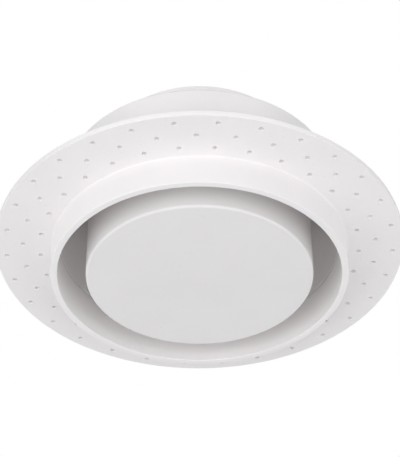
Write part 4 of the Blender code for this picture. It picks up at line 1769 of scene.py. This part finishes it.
@dataclass
class Studio:
    """Pale floor far below the ceiling piece, soft light and the camera."""

    floor_drop: float = 2.4
    floor_size: float = 60.0
    floor_pale: Colour = (0.9, 0.9, 0.9)
    floor_grey: Colour = (0.86, 0.86, 0.86)
    floor_patch: float = 0.5
    floor_roughness: float = 0.9
    ambient: float = 0.25
    camera_azimuth: float = 0.793
    camera_elevation: float = -39.013
    camera_distance: float = 1.07457
    camera_roll: float = -0.2206
    aim: tuple[float, float, float] = (0.53 * MM, -9.49 * MM, 8.39 * MM)
    sensor: float = 36.0
    lens: float = 137.624
    lights: tuple[SoftLight, ...] = (
        SoftLight("front_left", -45, -30, 13.3),
        SoftLight("front", 0, -30, 12.8),
        SoftLight("front_right", 45, -30, 8.2),
        SoftLight("left", -90, -30, 4.4),
        SoftLight("right", 90, -30, 5.3),
        SoftLight("back", 180, -30, 3.1),
        SoftLight("back_left", -135, 0, 12.8),
        SoftLight("back_right", 135, 0, 12.6),
        SoftLight("high_left", -45, 30, 10.0),
        SoftLight("high_right", 45, 30, 9.7),
    )

    def build(self) -> None:
        """Sets up the floor, the light and the camera."""
        bpy.context.scene.view_settings.view_transform = "Standard"
        self.floor()
        self.world()
        for light in self.lights:
            self.soft_box(light)
        self.camera()

    @staticmethod
    def way(azimuth: float, elevation: float) -> Vector:
        """Unit vector from the object towards an azimuth and elevation in degrees."""
        a, e = math.radians(azimuth), math.radians(elevation)
        return Vector((math.sin(a) * math.cos(e), -math.cos(a) * math.cos(e), math.sin(e)))

    def floor(self) -> None:
        """A large pale floor, a room's height below the object."""
        half = self.floor_size / 2
        bm = bmesh.new()
        bmesh.ops.create_grid(bm, x_segments=8, y_segments=8, size=half,
                              matrix=Matrix.Translation((0, 0, -self.floor_drop)))
        mesh = bpy.data.meshes.new("studio_floor")
        bm.to_mesh(mesh)
        bm.free()
        floor = bpy.data.objects.new("studio_floor", mesh)
        bpy.context.scene.collection.objects.link(floor)
        material = bpy.data.materials.new("studio_floor")
        material.use_nodes = True
        graph = Graph(material.node_tree)
        shader = material.node_tree.nodes["Principled BSDF"]
        patches = graph.noise(self.floor_patch, 4.0)
        tone = graph.mix(patches, (*self.floor_grey, 1), (*self.floor_pale, 1))
        graph.feed(shader.inputs["Base Color"], tone)
        shader.inputs["Roughness"].default_value = self.floor_roughness
        mesh.materials.append(material)

    def world(self) -> None:
        """Even soft light from all round, against a white background."""
        world = bpy.data.worlds.new("studio")
        world.use_nodes = True
        bpy.context.scene.world = world
        graph = Graph(world.node_tree)
        background = world.node_tree.nodes["Background"]
        seen = graph.add("LightPath").outputs["Is Camera Ray"]
        tone = graph.mix(seen, (*COOL_WHITE, 1), (1, 1, 1, 1))
        graph.feed(background.inputs["Color"], tone)
        strength = graph.span(seen, 0.0, 1.0, self.ambient, 1.0)
        graph.feed(background.inputs["Strength"], strength)

    def soft_box(self, light: SoftLight) -> None:
        """Adds one soft box that faces the object.

        Args:
            light: The soft box's place, size and power.
        """
        data = bpy.data.lights.new(light.name, "AREA")
        data.shape = "SQUARE"
        data.size = light.size
        data.energy = light.watts
        data.color = light.colour
        obj = bpy.data.objects.new(light.name, data)
        bpy.context.scene.collection.objects.link(obj)
        way = self.way(light.azimuth, light.elevation)
        obj.location = way * light.distance
        obj.rotation_mode = "QUATERNION"
        obj.rotation_quaternion = (-way).to_track_quat("-Z", "Y")
        obj.visible_camera = False

    def camera(self) -> None:
        """The camera, looking up at the object from below."""
        data = bpy.data.cameras.new("camera")
        data.sensor_width = self.sensor
        data.lens = self.lens
        camera = bpy.data.objects.new("camera", data)
        bpy.context.scene.collection.objects.link(camera)
        way = self.way(self.camera_azimuth, self.camera_elevation)
        camera.location = Vector(self.aim) + way * self.camera_distance
        camera.rotation_mode = "QUATERNION"
        roll = Quaternion((0, 0, 1), math.radians(self.camera_roll))
        camera.rotation_quaternion = (-way).to_track_quat("-Z", "Y") @ roll
        bpy.context.scene.camera = camera


def main() -> None:
    """Builds every sub-assembly in order, then the studio."""
    logging.basicConfig(level=logging.INFO, format="%(message)s")
    Studio().build()
    for make in (MountingFlange, Housing, Spigot, Bridge, SpringSeat, Plug, Spindle):
        log.info("building %s", make.__name__)
        make().build()


if __name__ == "__main__":
    main()
